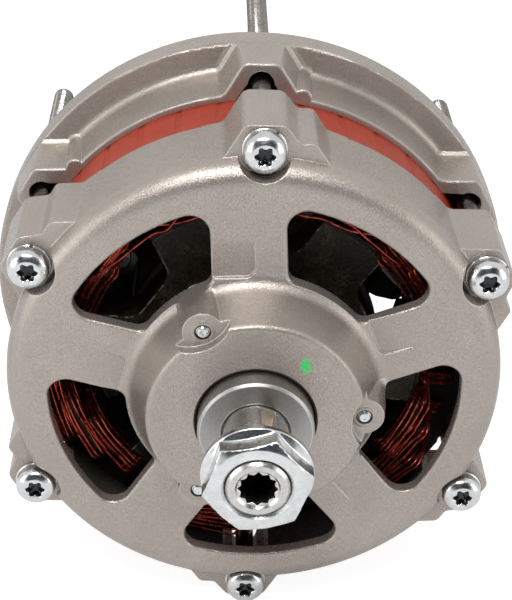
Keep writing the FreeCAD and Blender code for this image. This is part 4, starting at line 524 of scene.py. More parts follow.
def screw_steel():
    """Bright zinc on the heads, painted shade in their drives, dull steel along the shanks."""
    material, tree, shader = new_material("screw_zinc")
    mm = tree.place()
    _, along = tree.off_axis(mm)
    rounded, worn = tree.edge(0.0003)
    fine = tree.noise(mm, 0.6, 3.0, 0.6)
    colour = tree.spread(fine, *SCREW_ZINC)
    colour = tree.mix(worn, colour, ZINC_WORN)
    top, _ = along_y(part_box("case_screws"))
    shank = tree.math("GREATER_THAN", along, top + HEAD_DEPTH)
    colour = tree.mix(shank, colour, tree.spread(fine, *SCREW_SHANK))
    # Painted shade: each drive recess is painted near-black.
    for angle in SCREW_ANGLES:
        centre = ring_point(SCREW_RING_R, angle, top + DRIVE_MIDDLE)
        recess_shade = tree.within(mm, tuple(centre), DRIVE_REACH, 0.2)
        colour = tree.mix(tree.math("MULTIPLY", recess_shade, 0.95), colour, DRIVE_PAINTED_SHADE)
    wire_up(tree, shader, Base_Color=colour, Metallic=1.0, Roughness=tree.spread(fine, 0.16, 0.26),
            Normal=tree.bump(fine, 0.00002, 0.6, rounded))
    return material


def shaft_steel():
    """Ground shaft with painted shade in its drive socket, darker deeper in, and a rusty key slot."""
    material, tree, shader = new_material("ground_shaft")
    radius, along = tree.off_axis(tree.place())
    rounded, worn = tree.edge(0.0003)
    rings = tree.noise(tree.place(4.6), 0.8, 3.0, 0.6)
    colour = tree.spread(rings, *GROUND_STEEL)
    colour = tree.mix(worn, colour, GROUND_WORN)
    tip, _ = along_y(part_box("rotor_shaft"))
    # Painted shade: the drive socket is painted darker with depth.
    deep = tree.math("DIVIDE", tree.math("SUBTRACT", along, tip + SOCKET_SHADE_FROM), SOCKET_SHADE_FADE,
                     clamp=True)
    recess_shade = tree.product(deep, tree.math("LESS_THAN", radius, SOCKET_R))
    colour = tree.mix(tree.math("MULTIPLY", recess_shade, 0.97), colour, SOCKET_PAINTED_SHADE)
    keyway = tree.product(tree.math("LESS_THAN", radius, KEYWAY_FLOOR_R),
                          tree.math("GREATER_THAN", along, tip + KEYWAY_FROM_TIP[0]),
                          tree.math("LESS_THAN", along, tip + KEYWAY_FROM_TIP[1]))
    colour = tree.mix(tree.math("MULTIPLY", keyway, 0.85), colour, KEYWAY_RUST)
    rough = tree.mix(keyway, tree.spread(rings, 0.20, 0.30), 0.55)
    wire_up(tree, shader, Base_Color=colour, Metallic=1.0, Roughness=rough,
            Normal=tree.bump(rings, 0.00002, 0.6, rounded))
    return material


def make_materials():
    """One material for each slot of the CAD."""
    materials["cast_aluminium"] = cast_aluminium()
    materials["stator_red"] = painted_stack()
    materials["red_enamel"] = enamel_wire()
    materials["dark_steel"] = dark_rotor()
    materials["insulation"] = moulded("slot_paper", (0.030, 0.017, 0.010), (0.060, 0.032, 0.018), (0.4, 0.6))
    materials["black_plastic"] = moulded("black_moulding", (0.012, 0.012, 0.013), (0.022, 0.022, 0.023),
                                         (0.38, 0.55), edge_colour=(0.06, 0.06, 0.06))
    materials["carbon"] = moulded("carbon_brush", (0.015, 0.015, 0.016), (0.035, 0.035, 0.036), (0.5, 0.7))
    materials["copper"] = metal("bare_copper", (0.62, 0.27, 0.13), (0.75, 0.36, 0.20), (0.22, 0.38))
    materials["zinc_steel"] = metal("zinc_plate", (0.60, 0.62, 0.63), (0.76, 0.77, 0.76), (0.16, 0.27),
                                    grain=0.6, worn_colour=ZINC_WORN)
    materials["bright_steel"] = metal("turned_steel", (0.52, 0.51, 0.50), (0.68, 0.67, 0.66), (0.14, 0.26),
                                      grain=0.9, worn_colour=(0.85, 0.85, 0.85), stretch=4.2)
    materials["heat_sink"] = metal("sink_plate", (0.60, 0.58, 0.48), (0.72, 0.70, 0.58), (0.35, 0.5),
                                   grain=1.2, worn_colour=(0.82, 0.81, 0.76))
    materials["diode_metal"] = metal("diode_case", (0.50, 0.49, 0.46), (0.66, 0.65, 0.62), (0.25, 0.4),
                                     grain=2.0)
    materials["ring_copper"] = metal("slip_ring_copper", (0.55, 0.26, 0.14), (0.70, 0.38, 0.22), (0.18, 0.34),
                                     grain=1.0, stretch=6.0)


def dress_cad():
    """Materials for the CAD's own nodes: by slot, apart from three that have their own."""
    own = {
        "rotor_shaft": shaft_steel(),
        "spacer_collar": metal("collar_steel", (0.34, 0.33, 0.32), (0.43, 0.415, 0.40), (0.34, 0.44),
                               grain=1.4, edge=0.0004, worn_colour=(0.86, 0.85, 0.84)),
        "field_coil": coil_turns(),
    }
    for entry in frame["record"]["subparts"]:
        node = nodes[entry["node"]]
        material = own.get(entry["node"], materials[entry["material_slot"]])
        for slot in node.material_slots:
            slot.material = material
        if not node.material_slots:
            node.data.materials.append(material)


# Mesh helpers

# A thread has so many rings to a turn, and fades in and out over one turn of itself.
THREAD_RINGS = 6
THREAD_FLANK = 1.3


class Shape:
    """Collects vertices and faces of one piece."""

    def __init__(self):
        self.verts = []
        self.faces = []

    def add(self, verts, faces):
        start = len(self.verts)
        self.verts += verts
        self.faces += [tuple(start + index for index in face) for face in faces]

    def tube(self, points, radius, sides=6, closed=False):
        """Round bar along points; open ends are capped."""
        count = len(points)
        tangents = []
        for index in range(count):
            before = points[index - 1] if closed or index else points[0]
            after = points[(index + 1) % count] if closed or index < count - 1 else points[-1]
            tangents.append((after - before).normalized())
        side = tangents[0].orthogonal().normalized()
        verts = []
        for point, tangent in zip(points, tangents):
            side = (side - tangent * side.dot(tangent)).normalized()
            up = tangent.cross(side)
            for step in range(sides):
                turn = 2 * math.pi * step / sides
                verts.append(point + (side * math.cos(turn) + up * math.sin(turn)) * radius)
        shift = 0
        if closed:
            ends = [(verts[step] - verts[(count - 1) * sides]).length for step in range(sides)]
            shift = ends.index(min(ends))
        faces = []
        for index in range(count if closed else count - 1):
            after = (index + 1) % count
            extra = shift if after == 0 else 0
            for step in range(sides):
                turn_on = (step + 1) % sides
                faces.append((index * sides + step, index * sides + turn_on,
                              after * sides + (turn_on + extra) % sides,
                              after * sides + (step + extra) % sides))
        if not closed:
            faces.append(tuple(reversed(range(sides))))
            faces.append(tuple((count - 1) * sides + step for step in range(sides)))
        self.add(verts, faces)

    def grid(self, rows, capped=True):
        """Skin over rows of points, each row a ring; the first and last rings may be capped."""
        width = len(rows[0])
        faces = []
        for index in range(len(rows) - 1):
            for step in range(width):
                turn_on = (step + 1) % width
                faces.append((index * width + step, index * width + turn_on,
                              (index + 1) * width + turn_on, (index + 1) * width + step))
        if capped:
            faces.append(tuple(reversed(range(width))))
            faces.append(tuple((len(rows) - 1) * width + step for step in range(width)))
        self.add([point for row in rows for point in row], faces)

    def loop(self, rows):
        """Skin over rings that come back to the first one."""
        self.grid(rows + rows[:1], capped=False)

    def piece(self, name, slot, body, replaced=(), sharp=SHARP, material=None):
        """Makes the object; edges that bend more than sharp degrees stay sharp."""
        mesh = bpy.data.meshes.new(name)
        mesh.from_pydata([tuple(point * MM) for point in self.verts], [], self.faces)
        work = bmesh.new()
        work.from_mesh(mesh)
        bmesh.ops.recalc_face_normals(work, faces=work.faces)
        work.to_mesh(mesh)
        work.free()
        mesh.polygons.foreach_set("use_smooth", [True] * len(mesh.polygons))
        mesh.set_sharp_from_angle(angle=math.radians(sharp))
        mesh.materials.append(material or materials[slot])
        obj = bpy.data.objects.new(name, mesh)
        bpy.context.scene.collection.objects.link(obj)
        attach(obj, body)
        if replaced:
            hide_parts(*replaced)


class Turned:
    """Rings of points about a line along Y, from one end of a fastener to the other."""

    def __init__(self, centre, sides, first=0.0):
        self.centre = centre
        self.sides = sides
        self.first = math.radians(first)
        self.rows = []

    def row(self, y, radius):
        """One ring; its radius is a number or follows the angle about the line."""
        ring = []
        for step in range(self.sides):
            turn = self.first + 2 * math.pi * step / self.sides
            reach = radius(turn) if callable(radius) else radius
            ring.append(self.centre + Vector((reach * math.cos(turn), y, reach * math.sin(turn))))
        self.rows.append(ring)

    def profile(self, start, steps, way=1):
        """Rings at steps of (distance from the start, radius), forwards or backwards along Y."""
        for distance, radius in steps:
            self.row(start + way * distance, radius)

    def thread(self, y0, y1, crest, root, pitch):
        """Screw thread that fades out at both ends."""
        count = int(abs(y1 - y0) / pitch * THREAD_RINGS)
        for index in range(count + 1):
            y = y0 + (y1 - y0) * index / count
            depth = (crest - root) * min(1.0, index / THREAD_RINGS, (count - index) / THREAD_RINGS)
            self.row(y, lambda turn: crest - depth * max(
                0.0, 1.0 - THREAD_FLANK * abs(2 * ((y / pitch - turn / (2 * math.pi)) % 1.0) - 1)))


def curve_through(points, steps, closed=False):
    """Smooth path through points, with so many steps between two of them."""
    count = len(points)
    path = []
    for index in range(count if closed else count - 1):
        b, c = points[index], points[(index + 1) % count]
        a = points[index - 1] if closed or index else b
        d = points[(index + 2) % count] if closed or index < count - 2 else c
        for step in range(steps):
            t = step / steps
            path.append(0.5 * (2 * b + (c - a) * t + (2 * a - 5 * b + 4 * c - d) * t * t
                               + (3 * b - a - 3 * c + d) * t ** 3))
    if not closed:
        path.append(points[-1])
    return path


def hexagonal(flats, corner, limit):
    """Radius that follows a hexagon and is cut off at a limit."""
    def reach(turn):
        off = (math.degrees(turn) - corner) % 60.0 - 30.0
        return min(limit, flats / 2 / math.cos(math.radians(off)))
    return reach


def lobed(reach, drop):
    """Radius that follows a six-lobed drive whose flanks lie lower by the drop."""
    return lambda turn: reach - drop * (1 - math.cos(6 * turn)) / 2


# Stator: winding and paint

BARS = 12
BAR_STEP = 30.0
PHASE_STEP = 10.0
BAR_IN_R = 48.6
BAR_OUT_R = 57.7
BAR_HALF = 1.5
TURN_OUT_R = 57.9
TURN_THICK = 3.4
TURN_PITCH = 4.0
TURN_WIDE = 7.0
TURN_PARTS = (0.11, 0.27, 0.42, 0.58, 0.73, 0.89)
LEG = 4.5
LEG_BEND = 0.8 * LEG
LEG_LOOSE = 0.3

# The varnished core of a bundle fills this share of it, and is thicker by CORE_CROWN at its middle.
CORE_SHARE = 0.66
CORE_CORNER = 0.6 * CORE_SHARE
CORE_CROWN = 0.2
CORE_STEPS = 2

# Wires lie at these shares of a bundle's half width and height; the loose ones cross its outer face.
WIRE_R = 0.38
WIRE_STEPS = 4
WIRE_SEED = 31
STRANDS = [(-1.0, 0.2), (-1.0, -0.55), (0.98, 0.35), (0.98, -0.4), (0.0, -1.0)]
LOOSE_STRANDS = [(-1.5, 1.0), (-0.65, 1.0), (0.25, 1.0), (1.15, 1.0)]
WANDER_ACROSS = (0.6, 0.09)
WANDER_OUT = (0.75, 0.10)
LIMIT_IN_SLOT = 0.9
LIMIT_ON_TURN = 0.96
LIMIT_LOOSE = 1.5
LIMIT_OUT = 1.02

# How far each phase's loose wires sag towards the shaft, and how far they then stand forward.
SLACK = (2.6, 1.8, 0.5)
SLACK_SHARE = (0.1, 1.0)
SLACK_STEP = 0.55
SLACK_REACH = 4.0

SLACK_WIRE_Y = -55.7
SLACK_WIRE_STEP = 0.4
SLACK_WIRE_TUCK = 1.4
SLACK_WIRE_STEPS = 6
SLACK_WIRES = [  # angle and radius along each
    [(129, 53), (123.7, 50.1), (117.9, 47.8), (112.3, 47.1), (106, 47.6), (98, 50)],
    [(126, 53), (119.8, 50.2), (114.3, 49.2), (109.3, 48.3), (100, 49.5)],
    [(113, 50.5), (119.9, 47.4), (124.6, 48.1), (131.8, 47.9), (138.3, 48), (144, 49.1), (152, 51.5)],
    [(117, 53), (124.2, 50), (131.3, 50), (138, 49.6), (143.7, 49.3), (150, 49.6), (158, 52)],
    [(88, 51), (79.2, 47.2), (70.5, 47.7), (65.1, 47.5), (60.1, 48), (53, 50)],
    [(85, 52.5), (76.8, 49.3), (69, 49.6), (61.3, 49.4), (56, 48.6), (49.5, 48.3), (43, 48.7), (36, 50.5)],
    [(66, 53), (58.6, 50.9), (52.4, 51.2), (47.4, 51.2), (41, 50.7), (33.9, 50.6), (26, 52.5)],
]
WIRE_SHARP = 80.0

STAR_SIDES = 24
STAR_HALF_THICK = 2.2
STAR_RIBS = 6
STAR_RIB = 0.10
STAR_SHARP = 50.0
STAR_SLEEVE = [  # radius, angle, y and half width along the sleeve
    (45.0, 20.0, 1.2, 2.6), (44.4, 17.0, 0.9, 3.8), (43.0, 11.0, 0.6, 5.2), (42.3, 4.0, 0.4, 6.0),
    (42.0, -3.0, 0.3, 6.2), (41.9, -8.5, 0.3, 6.1), (41.9, -11.5, 0.3, 5.7), (41.9, -12.8, 0.3, 4.9),
]
TAIL_R = 0.95
TAIL_SIDES = 10
TAIL_STEPS = 5
TAIL_Y = (1.2, -1.0, -4.0)
TAIL_TURN = (-3.0, 0.0, 2.0)
TAILS_AT = [(48.6, 24.0), (52.4, 27.0), (56.0, 31.0)]

NOTCHES = 36
NOTCH_TOP_R = 63.48
NOTCH_INSET = 0.3
NOTCH_ROWS = 5
NOTCH_SHARP = 60.0
NOTCH_SKIN = [(-1.12, 0.02), (-0.6, 0.18), (0.0, 0.28), (0.6, 0.18), (1.12, 0.02),
              (0.6, 1.05), (0.0, 1.1), (-0.6, 1.05)]


def winding_stations(phase):
    """Sections along one phase: each gives angle, radius, y and how far u and v reach there."""
    core_front, core_rear = along_y(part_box("stator_core"))
    bar_r = (BAR_IN_R + BAR_OUT_R) / 2
    tall = (BAR_OUT_R - BAR_IN_R) / 2
    thick = TURN_THICK / 2
    turn_r = TURN_OUT_R - phase * TURN_PITCH - thick
    bar = dict(r=bar_r, across=(BAR_HALF, 0.0), out=(0.0, tall), along=(0.0, 0.0), loose=0.0, sag=0.0)
    leg = dict(r=turn_r, across=(BAR_HALF, 0.0), out=(0.0, thick), along=(0.0, 0.0), loose=LEG_LOOSE, sag=0.0)
    stations = []
    for index in range(BARS):
        angle = phase * PHASE_STEP + index * BAR_STEP
        way = -1 if index % 2 == 0 else 1
        near, far = (core_front, core_rear) if way < 0 else (core_rear, core_front)
        turn = dict(r=turn_r, across=(0.0, 0.0), out=(thick, 0.0), along=(0.0, way * TURN_WIDE / 2),
                    loose=1.0, y=near + way * (LEG + TURN_WIDE / 2))
        stations.append(dict(bar, angle=angle, y=far))
        stations.append(dict(bar, angle=angle, y=near))
        stations.append(dict(leg, angle=angle, y=near + way * LEG_BEND))
        for part in TURN_PARTS:
            stations.append(dict(turn, angle=angle + BAR_STEP * part, sag=math.sin(math.pi * part)))
        stations.append(dict(leg, angle=angle + BAR_STEP, y=near + way * LEG_BEND))
    return stations


def station_point(station, u, v):
    radius = station["r"] + u * station["out"][0] + v * station["out"][1]
    y = station["y"] + u * station["along"][0] + v * station["along"][1]
    return ring_point(radius, station["angle"], y, u * station["across"][0] + v * station["across"][1])


def bundle_core(stations, name, varnish):
    """Varnished core of a bundle: one closed bar with eight corners."""
    crown = CORE_SHARE + CORE_CROWN
    half = [(-CORE_SHARE, -CORE_CORNER), (-CORE_CORNER, -crown),
            (CORE_CORNER, -crown), (CORE_SHARE, -CORE_CORNER)]
    section = half + [(-u, -v) for u, v in half]
    paths = [curve_through([station_point(station, u, v) for station in stations], CORE_STEPS, closed=True)
             for u, v in section]
    bundle = Shape()
    bundle.loop(list(zip(*paths)))
    bundle.piece(name, "insulation", "housing", material=varnish)


def sagged(point, inward):
    """The point drawn towards the shaft and forward, as a slack wire hangs."""
    radius = math.hypot(point.x, point.z)
    across = Vector((point.x, 0.0, point.z)) * ((radius - inward) / radius)
    return across + Vector((0.0, point.y - SLACK_STEP * (1 + inward / SLACK_REACH), 0.0))


def bundle_wires(phase, stations, name, replaced):
    """Separate wires that wander over a bundle; the loose ones sag at the drive end."""
    chance = random.Random(WIRE_SEED + phase)
    sags = [SLACK[phase] * chance.uniform(*SLACK_SHARE) for _ in range(BARS)]
    (keep_u, step_u), (keep_v, step_v) = WANDER_ACROSS, WANDER_OUT
    wires = Shape()
    for u, v in STRANDS + LOOSE_STRANDS:
        loose = (u, v) in LOOSE_STRANDS
        drift_u, drift_v = 0.0, 0.0
        points = []
        for place, station in enumerate(stations):
            drift_u = keep_u * drift_u + chance.uniform(-step_u, step_u)
            drift_v = keep_v * drift_v + chance.uniform(-step_v, step_v)
            share = station["loose"]
            limit = LIMIT_IN_SLOT if share < 1.0 else LIMIT_LOOSE if loose else LIMIT_ON_TURN
            here_u = max(-limit, min(limit, u + drift_u * share))
            here_v = max(-LIMIT_OUT, min(LIMIT_OUT, v + drift_v * share))
            point = station_point(station, here_u, here_v)
            if loose and point.y < 0.0 and station["sag"] > 0.0:
                point = sagged(point, sags[place * BARS // len(stations)] * station["sag"])
            points.append(point)
        wires.tube(curve_through(points, WIRE_STEPS, closed=True), WIRE_R, closed=True)
    wires.piece(name, "red_enamel", "housing", replaced=replaced, sharp=WIRE_SHARP)


def phase_windings():
    """Three nested phases, each a varnished bundle with wires over it."""
    varnish = moulded("bundle_varnish", (0.004, 0.003, 0.002), (0.012, 0.007, 0.005), (0.22, 0.4))
    for phase, letter in enumerate("uvw"):
        name = "phase_winding_" + letter
        stations = winding_stations(phase)
        bundle_core(stations, name + "_varnish", varnish)
        bundle_wires(phase, stations, name + "_wires", [name])


def slack_wires():
    """Wires that hang slack in front of the bundles, as the windows show them."""
    shape = Shape()
    for index, path in enumerate(SLACK_WIRES):
        last = len(path) - 1
        points = []
        for place, (angle, radius) in enumerate(path):
            tucked = SLACK_WIRE_TUCK if place in (0, last) else 0.0
            points.append(ring_point(radius, angle, SLACK_WIRE_Y - SLACK_WIRE_STEP * (index % 3) + tucked))
        shape.tube(curve_through(points, SLACK_WIRE_STEPS), WIRE_R)
    shape.piece("slack_wires", "red_enamel", "housing", sharp=WIRE_SHARP)


def star_point():
    """The phases' joined ends side by side in a flat dark sleeve against the rear end turns."""
    sleeve = Shape()
    rows = []
    for radius, angle, y, half in STAR_SLEEVE:
        row = []
        for step in range(STAR_SIDES):
            turn = 2 * math.pi * step / STAR_SIDES
            thick = STAR_HALF_THICK * (1.0 + STAR_RIB * math.cos(STAR_RIBS * turn))
            row.append(ring_point(radius + half * math.cos(turn), angle, y + thick * math.sin(turn)))
        rows.append(row)
    sleeve.grid(rows)
    sleeve.piece("star_point_sleeve", "insulation", "housing", sharp=STAR_SHARP)

    tails = Shape()
    mouth_r, mouth_angle, mouth_y, _ = STAR_SLEEVE[0]
    for radius, angle in TAILS_AT:
        path = [ring_point(mouth_r, mouth_angle, mouth_y),
                ring_point((radius + mouth_r) / 2, angle + TAIL_TURN[0], TAIL_Y[0]),
                ring_point(radius, angle + TAIL_TURN[1], TAIL_Y[1]),
                ring_point(radius, angle + TAIL_TURN[2], TAIL_Y[2])]
        tails.tube(curve_through(path, TAIL_STEPS), TAIL_R, sides=TAIL_SIDES)
    tails.piece("star_point_tails", "red_enamel", "housing", sharp=STAR_SHARP)


def notch_paint():
    """Paint pooled in the notches of the stack, so that they show as soft waves."""
    front, rear = along_y(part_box("stator_core"))
    shape = Shape()
    for index in range(NOTCHES):
        angle = index * 360.0 / NOTCHES
        rows = []
        for step in range(NOTCH_ROWS):
            y = front + NOTCH_INSET + (rear - front - 2 * NOTCH_INSET) * step / (NOTCH_ROWS - 1)
            rows.append([ring_point(NOTCH_TOP_R - drop, angle, y, across) for across, drop in NOTCH_SKIN])
        shape.grid(rows)
    shape.piece("notch_paint", "stator_red", "housing", sharp=NOTCH_SHARP)


# Screws, washers, nuts and studs

# Profiles are steps of (distance along Y, radius) from one end of the fastener or of its part, and
# threads are (crest radius, root radius, pitch) with their runout at each end.
SCREW_HEAD_SIDES = 48
SCREW_SHANK_SIDES = 24
SCREW_HEAD_R = 5.4
SCREW_CORE_R = 2.65
SCREW_TURNED = (0, 60)
SCREW_THREAD = (3.0, 2.48, 1.0)
SCREW_THREAD_Y = -0.3
SCREW_THREAD_RUNOUT = (0.5, 0.9)
SCREW_SUNK = 0.3
SCREW_TAIL = [(0.3, 2.48), (0.0, 2.13)]
SCREW_SEED = 5
UNDERSIDE = [(0.0, SCREW_CORE_R), (0.0, SCREW_HEAD_R - 0.25), (0.15, SCREW_HEAD_R - 0.03)]
DOME = [(2.9, 5.4), (2.3, 5.37), (1.75, 5.26), (1.25, 5.05), (0.88, 4.75), (0.5, 4.2), (0.16, 3.6),
        (0.04, 3.4), (0.0, 3.2)]
LOBE_DROP = 0.75
DRIVE = [(0.02, lobed(2.87, LOBE_DROP)), (0.22, lobed(2.65, LOBE_DROP)), (2.3, lobed(2.57, LOBE_DROP)),
         (2.8, 0.4)]

WASHER_SEED = 8
WASHER_GAP = 10.0
WASHER_LIFT = 0.1
WASHER_RISE = 0.9
WASHER_STEPS = 60
WASHER_TOP_GAP = 58.0
WASHER_EDGE = [(2.95, 0.12), (3.07, 0.0), (5.5, 0.0), (5.7, 0.2),
               (5.7, 0.8), (5.5, 1.0), (3.07, 1.0), (2.95, 0.88)]

RETAINER_SIDES = 28
RETAINER_SEAT_SIDES = 36
RETAINER_TIP = [(0.22, 0.35), (0.1, 0.55), (0.0, 0.8), (0.04, 1.15), (0.2, 1.42), (0.55, 1.5)]
RETAINER_THREAD = (1.88, 1.55, 0.7)
RETAINER_THREAD_RUNOUT = (0.75, 2.2)
RETAINER_HEAD = [(1.8, 1.9), (1.8, 3.2), (1.6, 3.4), (0.4, 3.35), (0.05, 2.9), (0.0, 2.4)]
RETAINER_SEAT = [(1.0, 2.1), (0.42, 2.1), (0.34, 2.3), (0.42, 2.7), (0.56, 3.1), (0.66, 3.3), (1.0, 3.3)]

NUT_SIDES = 96
NUT_FLATS = 24.0
NUT_CORNER = 13.2
NUT_CORNER_R = 13.9
NUT_FACE = [(0.0, 8.85), (0.0, 11.45), (0.06, 11.6)]
NUT_FACE_R = 11.5
NUT_BROKEN_TO = (12.0, 12.5, 13.0, 13.5, NUT_CORNER_R)
NUT_BREAK = math.tan(math.radians(30))
NUT_FLANGE = 2.2
NUT_SLOPE_R = (12.15, 12.4, 12.7, 13.0, 13.3, 13.6, 13.85)
NUT_SLOPE = 0.62
NUT_SLOPE_RISE = 0.6
NUT_SLOPE_LEAD = 0.15
NUT_RIM = [(0.66, 14.0), (1.9, 14.0), (2.14, 13.8), (2.2, 13.5), (2.2, 8.4), (1.9, 8.0), (-0.8, 8.0)]
NUT_THREAD = [(3.6, 8.32), (1.05, 8.32), (0.92, 8.12), (0.80, 8.42), (0.66, 8.26), (0.48, 8.62), (0.38, 8.5),
              (0.2, 8.85)]
NUT_SHARP = 22.0

BATTERY_AT = (42.0, 180.0)
BATTERY_SIDES = 28
BATTERY_FOOT = [(0.0, 5.9), (0.3, 6.2), (2.7, 6.2), (3.0, 5.9), (3.0, 4.0)]
BATTERY_THREAD = (4.0, 3.35, 1.25)
BATTERY_THREAD_RUNOUT = (4.0, 0.1)
BATTERY_STEP_FROM_NUT = 0.8
BATTERY_STEP = [(0.0, 3.8), (0.0, 3.0)]
BATTERY_PIN_THREAD = (3.0, 2.48, 1.0)
BATTERY_PIN_RUNOUT = (0.1, 0.5)
BATTERY_TIP = [(0.15, 2.6), (0.0, 2.3)]
BATTERY_NUT_SIDES = 48
BATTERY_NUT_FLATS = 13.0
BATTERY_NUT_FACE_R = 6.2
BATTERY_NUT_BEVEL = [(0.12, 6.6), (0.3, 7.05), (0.5, 7.5)]
BATTERY_NUT_BORE = [(0.0, 4.6), (0.6, 4.02)]

TERMINALS_AT = [(46.5, 240.0), (31.0, 120.0)]
TERMINAL_SIDES = 24
TERMINAL_FOOT = [(0.0, 3.4), (0.2, 3.6), (1.3, 3.6), (1.5, 3.4), (1.5, 2.4)]
TERMINAL_SHOULDER = [(8.0, 2.4), (8.0, 2.0)]
TERMINAL_THREAD = (2.0, 1.62, 0.7)
TERMINAL_THREAD_ENDS = (7.8, 0.4)
TERMINAL_TIP_R = 1.55


def case_screws():
    """Domed heads with a six-lobed drive, plain shanks, and threaded tails behind the flange."""
    top, tail = along_y(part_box("case_screws"))
    under, _ = along_y(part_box("case_screw_washers"))
    chance = random.Random(SCREW_SEED)
    shape = Shape()
    for angle in SCREW_ANGLES:
        centre = ring_point(SCREW_RING_R, angle, 0.0)
        head = Turned(centre, SCREW_HEAD_SIDES, chance.uniform(*SCREW_TURNED))
        head.profile(under, UNDERSIDE, way=-1)
        head.profile(top, DOME)
        head.profile(top, DRIVE)
        shape.grid(head.rows)
        shank = Turned(centre, SCREW_SHANK_SIDES)
        shank.row(under - SCREW_SUNK, SCREW_CORE_R)
        shank.row(SCREW_THREAD_Y - SCREW_THREAD_RUNOUT[0], SCREW_CORE_R)
        shank.thread(SCREW_THREAD_Y, tail - SCREW_THREAD_RUNOUT[1], *SCREW_THREAD)
        shank.profile(tail, SCREW_TAIL, way=-1)
        shape.grid(shank.rows)
    shape.piece("case_screws_turned", "bright_steel", "housing", replaced=["case_screws"],
                material=screw_steel())


def case_screw_washers():
    """Split spring washers, each with its gap somewhere else."""
    front, _ = along_y(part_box("case_screw_washers"))
    chance = random.Random(WASHER_SEED)
    shape = Shape()
    for index, angle in enumerate(SCREW_ANGLES):
        centre = ring_point(SCREW_RING_R, angle, 0.0)
        gap = WASHER_TOP_GAP if index == 0 else chance.uniform(0, 360)
        rows = []
        for step in range(WASHER_STEPS + 1):
            turn = math.radians(gap + WASHER_GAP / 2 + (360 - WASHER_GAP) * step / WASHER_STEPS)
            lift = WASHER_LIFT * (1 - step / WASHER_STEPS)
            rows.append([centre + Vector((radius * math.cos(turn), front + y * WASHER_RISE + lift,
                                          radius * math.sin(turn))) for radius, y in WASHER_EDGE])
        shape.grid(rows)
    shape.piece("spring_washers", "bright_steel", "housing", replaced=["case_screw_washers"],
                material=materials["zinc_steel"])


def retainer_screws():
    """Screws with thread, whose domed tips show in seats in the pads of the hub."""
    tip, back = along_y(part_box("retainer_screws"))
    shape = Shape()
    seats = Shape()
    for angle in RETAINER_ANGLES:
        centre = ring_point(RETAINER_RING_R, angle, 0.0)
        screw = Turned(centre, RETAINER_SIDES)
        screw.profile(tip, RETAINER_TIP)
        screw.thread(tip + RETAINER_THREAD_RUNOUT[0], back - RETAINER_THREAD_RUNOUT[1], *RETAINER_THREAD)
        screw.profile(back, RETAINER_HEAD, way=-1)
        shape.grid(screw.rows)
        seat = Turned(centre, RETAINER_SEAT_SIDES)
        seat.profile(tip, RETAINER_SEAT)
        seats.loop(seat.rows)
    shape.piece("retainer_screws_turned", "zinc_steel", "housing", replaced=["retainer_screws"])
    seats.piece("retainer_seats", "cast_aluminium", "housing")


def shaft_nut():
    """Flanged nut: broken corners, a soft run from the flats into the flange, and its thread's start."""
    front, rear = along_y(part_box("shaft_nut"))
    nut = Turned(Vector((0.0, 0.0, 0.0)), NUT_SIDES, NUT_CORNER)
    nut.profile(front, NUT_FACE)
    for limit in NUT_BROKEN_TO:
        nut.row(front + (limit - NUT_FACE_R) * NUT_BREAK, hexagonal(NUT_FLATS, NUT_CORNER, limit))
    flat = hexagonal(NUT_FLATS, NUT_CORNER, NUT_CORNER_R)
    shoulder = rear - NUT_FLANGE
    slope_from = shoulder - NUT_SLOPE_RISE
    nut.row(slope_from - NUT_SLOPE_LEAD, flat)
    for reach in NUT_SLOPE_R:
        nut.row(slope_from + (reach - NUT_SLOPE_R[0]) * NUT_SLOPE, lambda turn: max(flat(turn), reach))
    nut.profile(shoulder, NUT_RIM)
    nut.profile(front, NUT_THREAD)
    shape = Shape()
    shape.loop(nut.rows)
    shape.piece("shaft_nut_turned", "zinc_steel", "rotor", replaced=["shaft_nut"], sharp=NUT_SHARP)


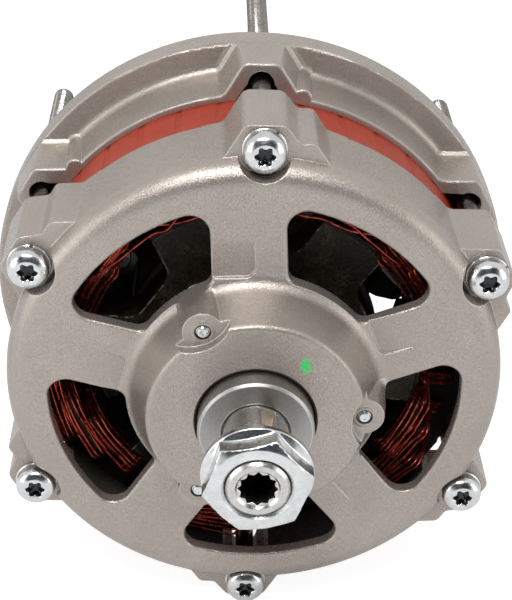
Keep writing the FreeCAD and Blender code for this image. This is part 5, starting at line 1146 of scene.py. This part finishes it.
def battery_stud():
    """Stud with a thick thread under its nut and a thin one for the cable."""
    centre = ring_point(*BATTERY_AT, 0.0)
    start, end = along_y(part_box("battery_stud"))
    nut_front, nut_rear = along_y(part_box("battery_stud_nut"))
    step = nut_rear + BATTERY_STEP_FROM_NUT
    stud = Turned(centre, BATTERY_SIDES)
    stud.profile(start, BATTERY_FOOT)
    stud.thread(start + BATTERY_THREAD_RUNOUT[0], step - BATTERY_THREAD_RUNOUT[1], *BATTERY_THREAD)
    stud.profile(step, BATTERY_STEP)
    stud.thread(step + BATTERY_PIN_RUNOUT[0], end - BATTERY_PIN_RUNOUT[1], *BATTERY_PIN_THREAD)
    stud.profile(end, BATTERY_TIP, way=-1)
    shape = Shape()
    shape.grid(stud.rows)
    shape.piece("battery_stud_turned", "zinc_steel", "housing", replaced=["battery_stud"])

    bevel = [(inset, hexagonal(BATTERY_NUT_FLATS, 0.0, limit)) for inset, limit in BATTERY_NUT_BEVEL]
    nut = Turned(centre, BATTERY_NUT_SIDES)
    nut.profile(nut_front, BATTERY_NUT_BORE[:1] + [(0.0, BATTERY_NUT_FACE_R)] + bevel)
    nut.profile(nut_rear, bevel[::-1] + [(0.0, BATTERY_NUT_FACE_R)] + BATTERY_NUT_BORE, way=-1)
    nut.profile(nut_front, BATTERY_NUT_BORE[1:])
    shape = Shape()
    shape.loop(nut.rows)
    shape.piece("battery_nut_turned", "zinc_steel", "housing", replaced=["battery_stud_nut"], sharp=NUT_SHARP)


def terminal_posts():
    """Two threaded terminals on round feet."""
    start, end = along_y(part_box("terminal_posts"))
    shape = Shape()
    for radius, angle in TERMINALS_AT:
        post = Turned(ring_point(radius, angle, 0.0), TERMINAL_SIDES)
        post.profile(start, TERMINAL_FOOT)
        post.profile(end, TERMINAL_SHOULDER, way=-1)
        post.thread(end - TERMINAL_THREAD_ENDS[0], end - TERMINAL_THREAD_ENDS[1], *TERMINAL_THREAD)
        post.row(end, TERMINAL_TIP_R)
        shape.grid(post.rows)
    shape.piece("terminal_posts_turned", "zinc_steel", "housing", replaced=["terminal_posts"])


# The scene

make_camera()
make_world()
make_floor()
make_lamps()
make_card()
make_materials()
dress_cad()
phase_windings()
slack_wires()
star_point()
notch_paint()
case_screws()
case_screw_washers()
retainer_screws()
shaft_nut()
battery_stud()
terminal_posts()

bpy.context.scene.view_settings.view_transform = "Standard"
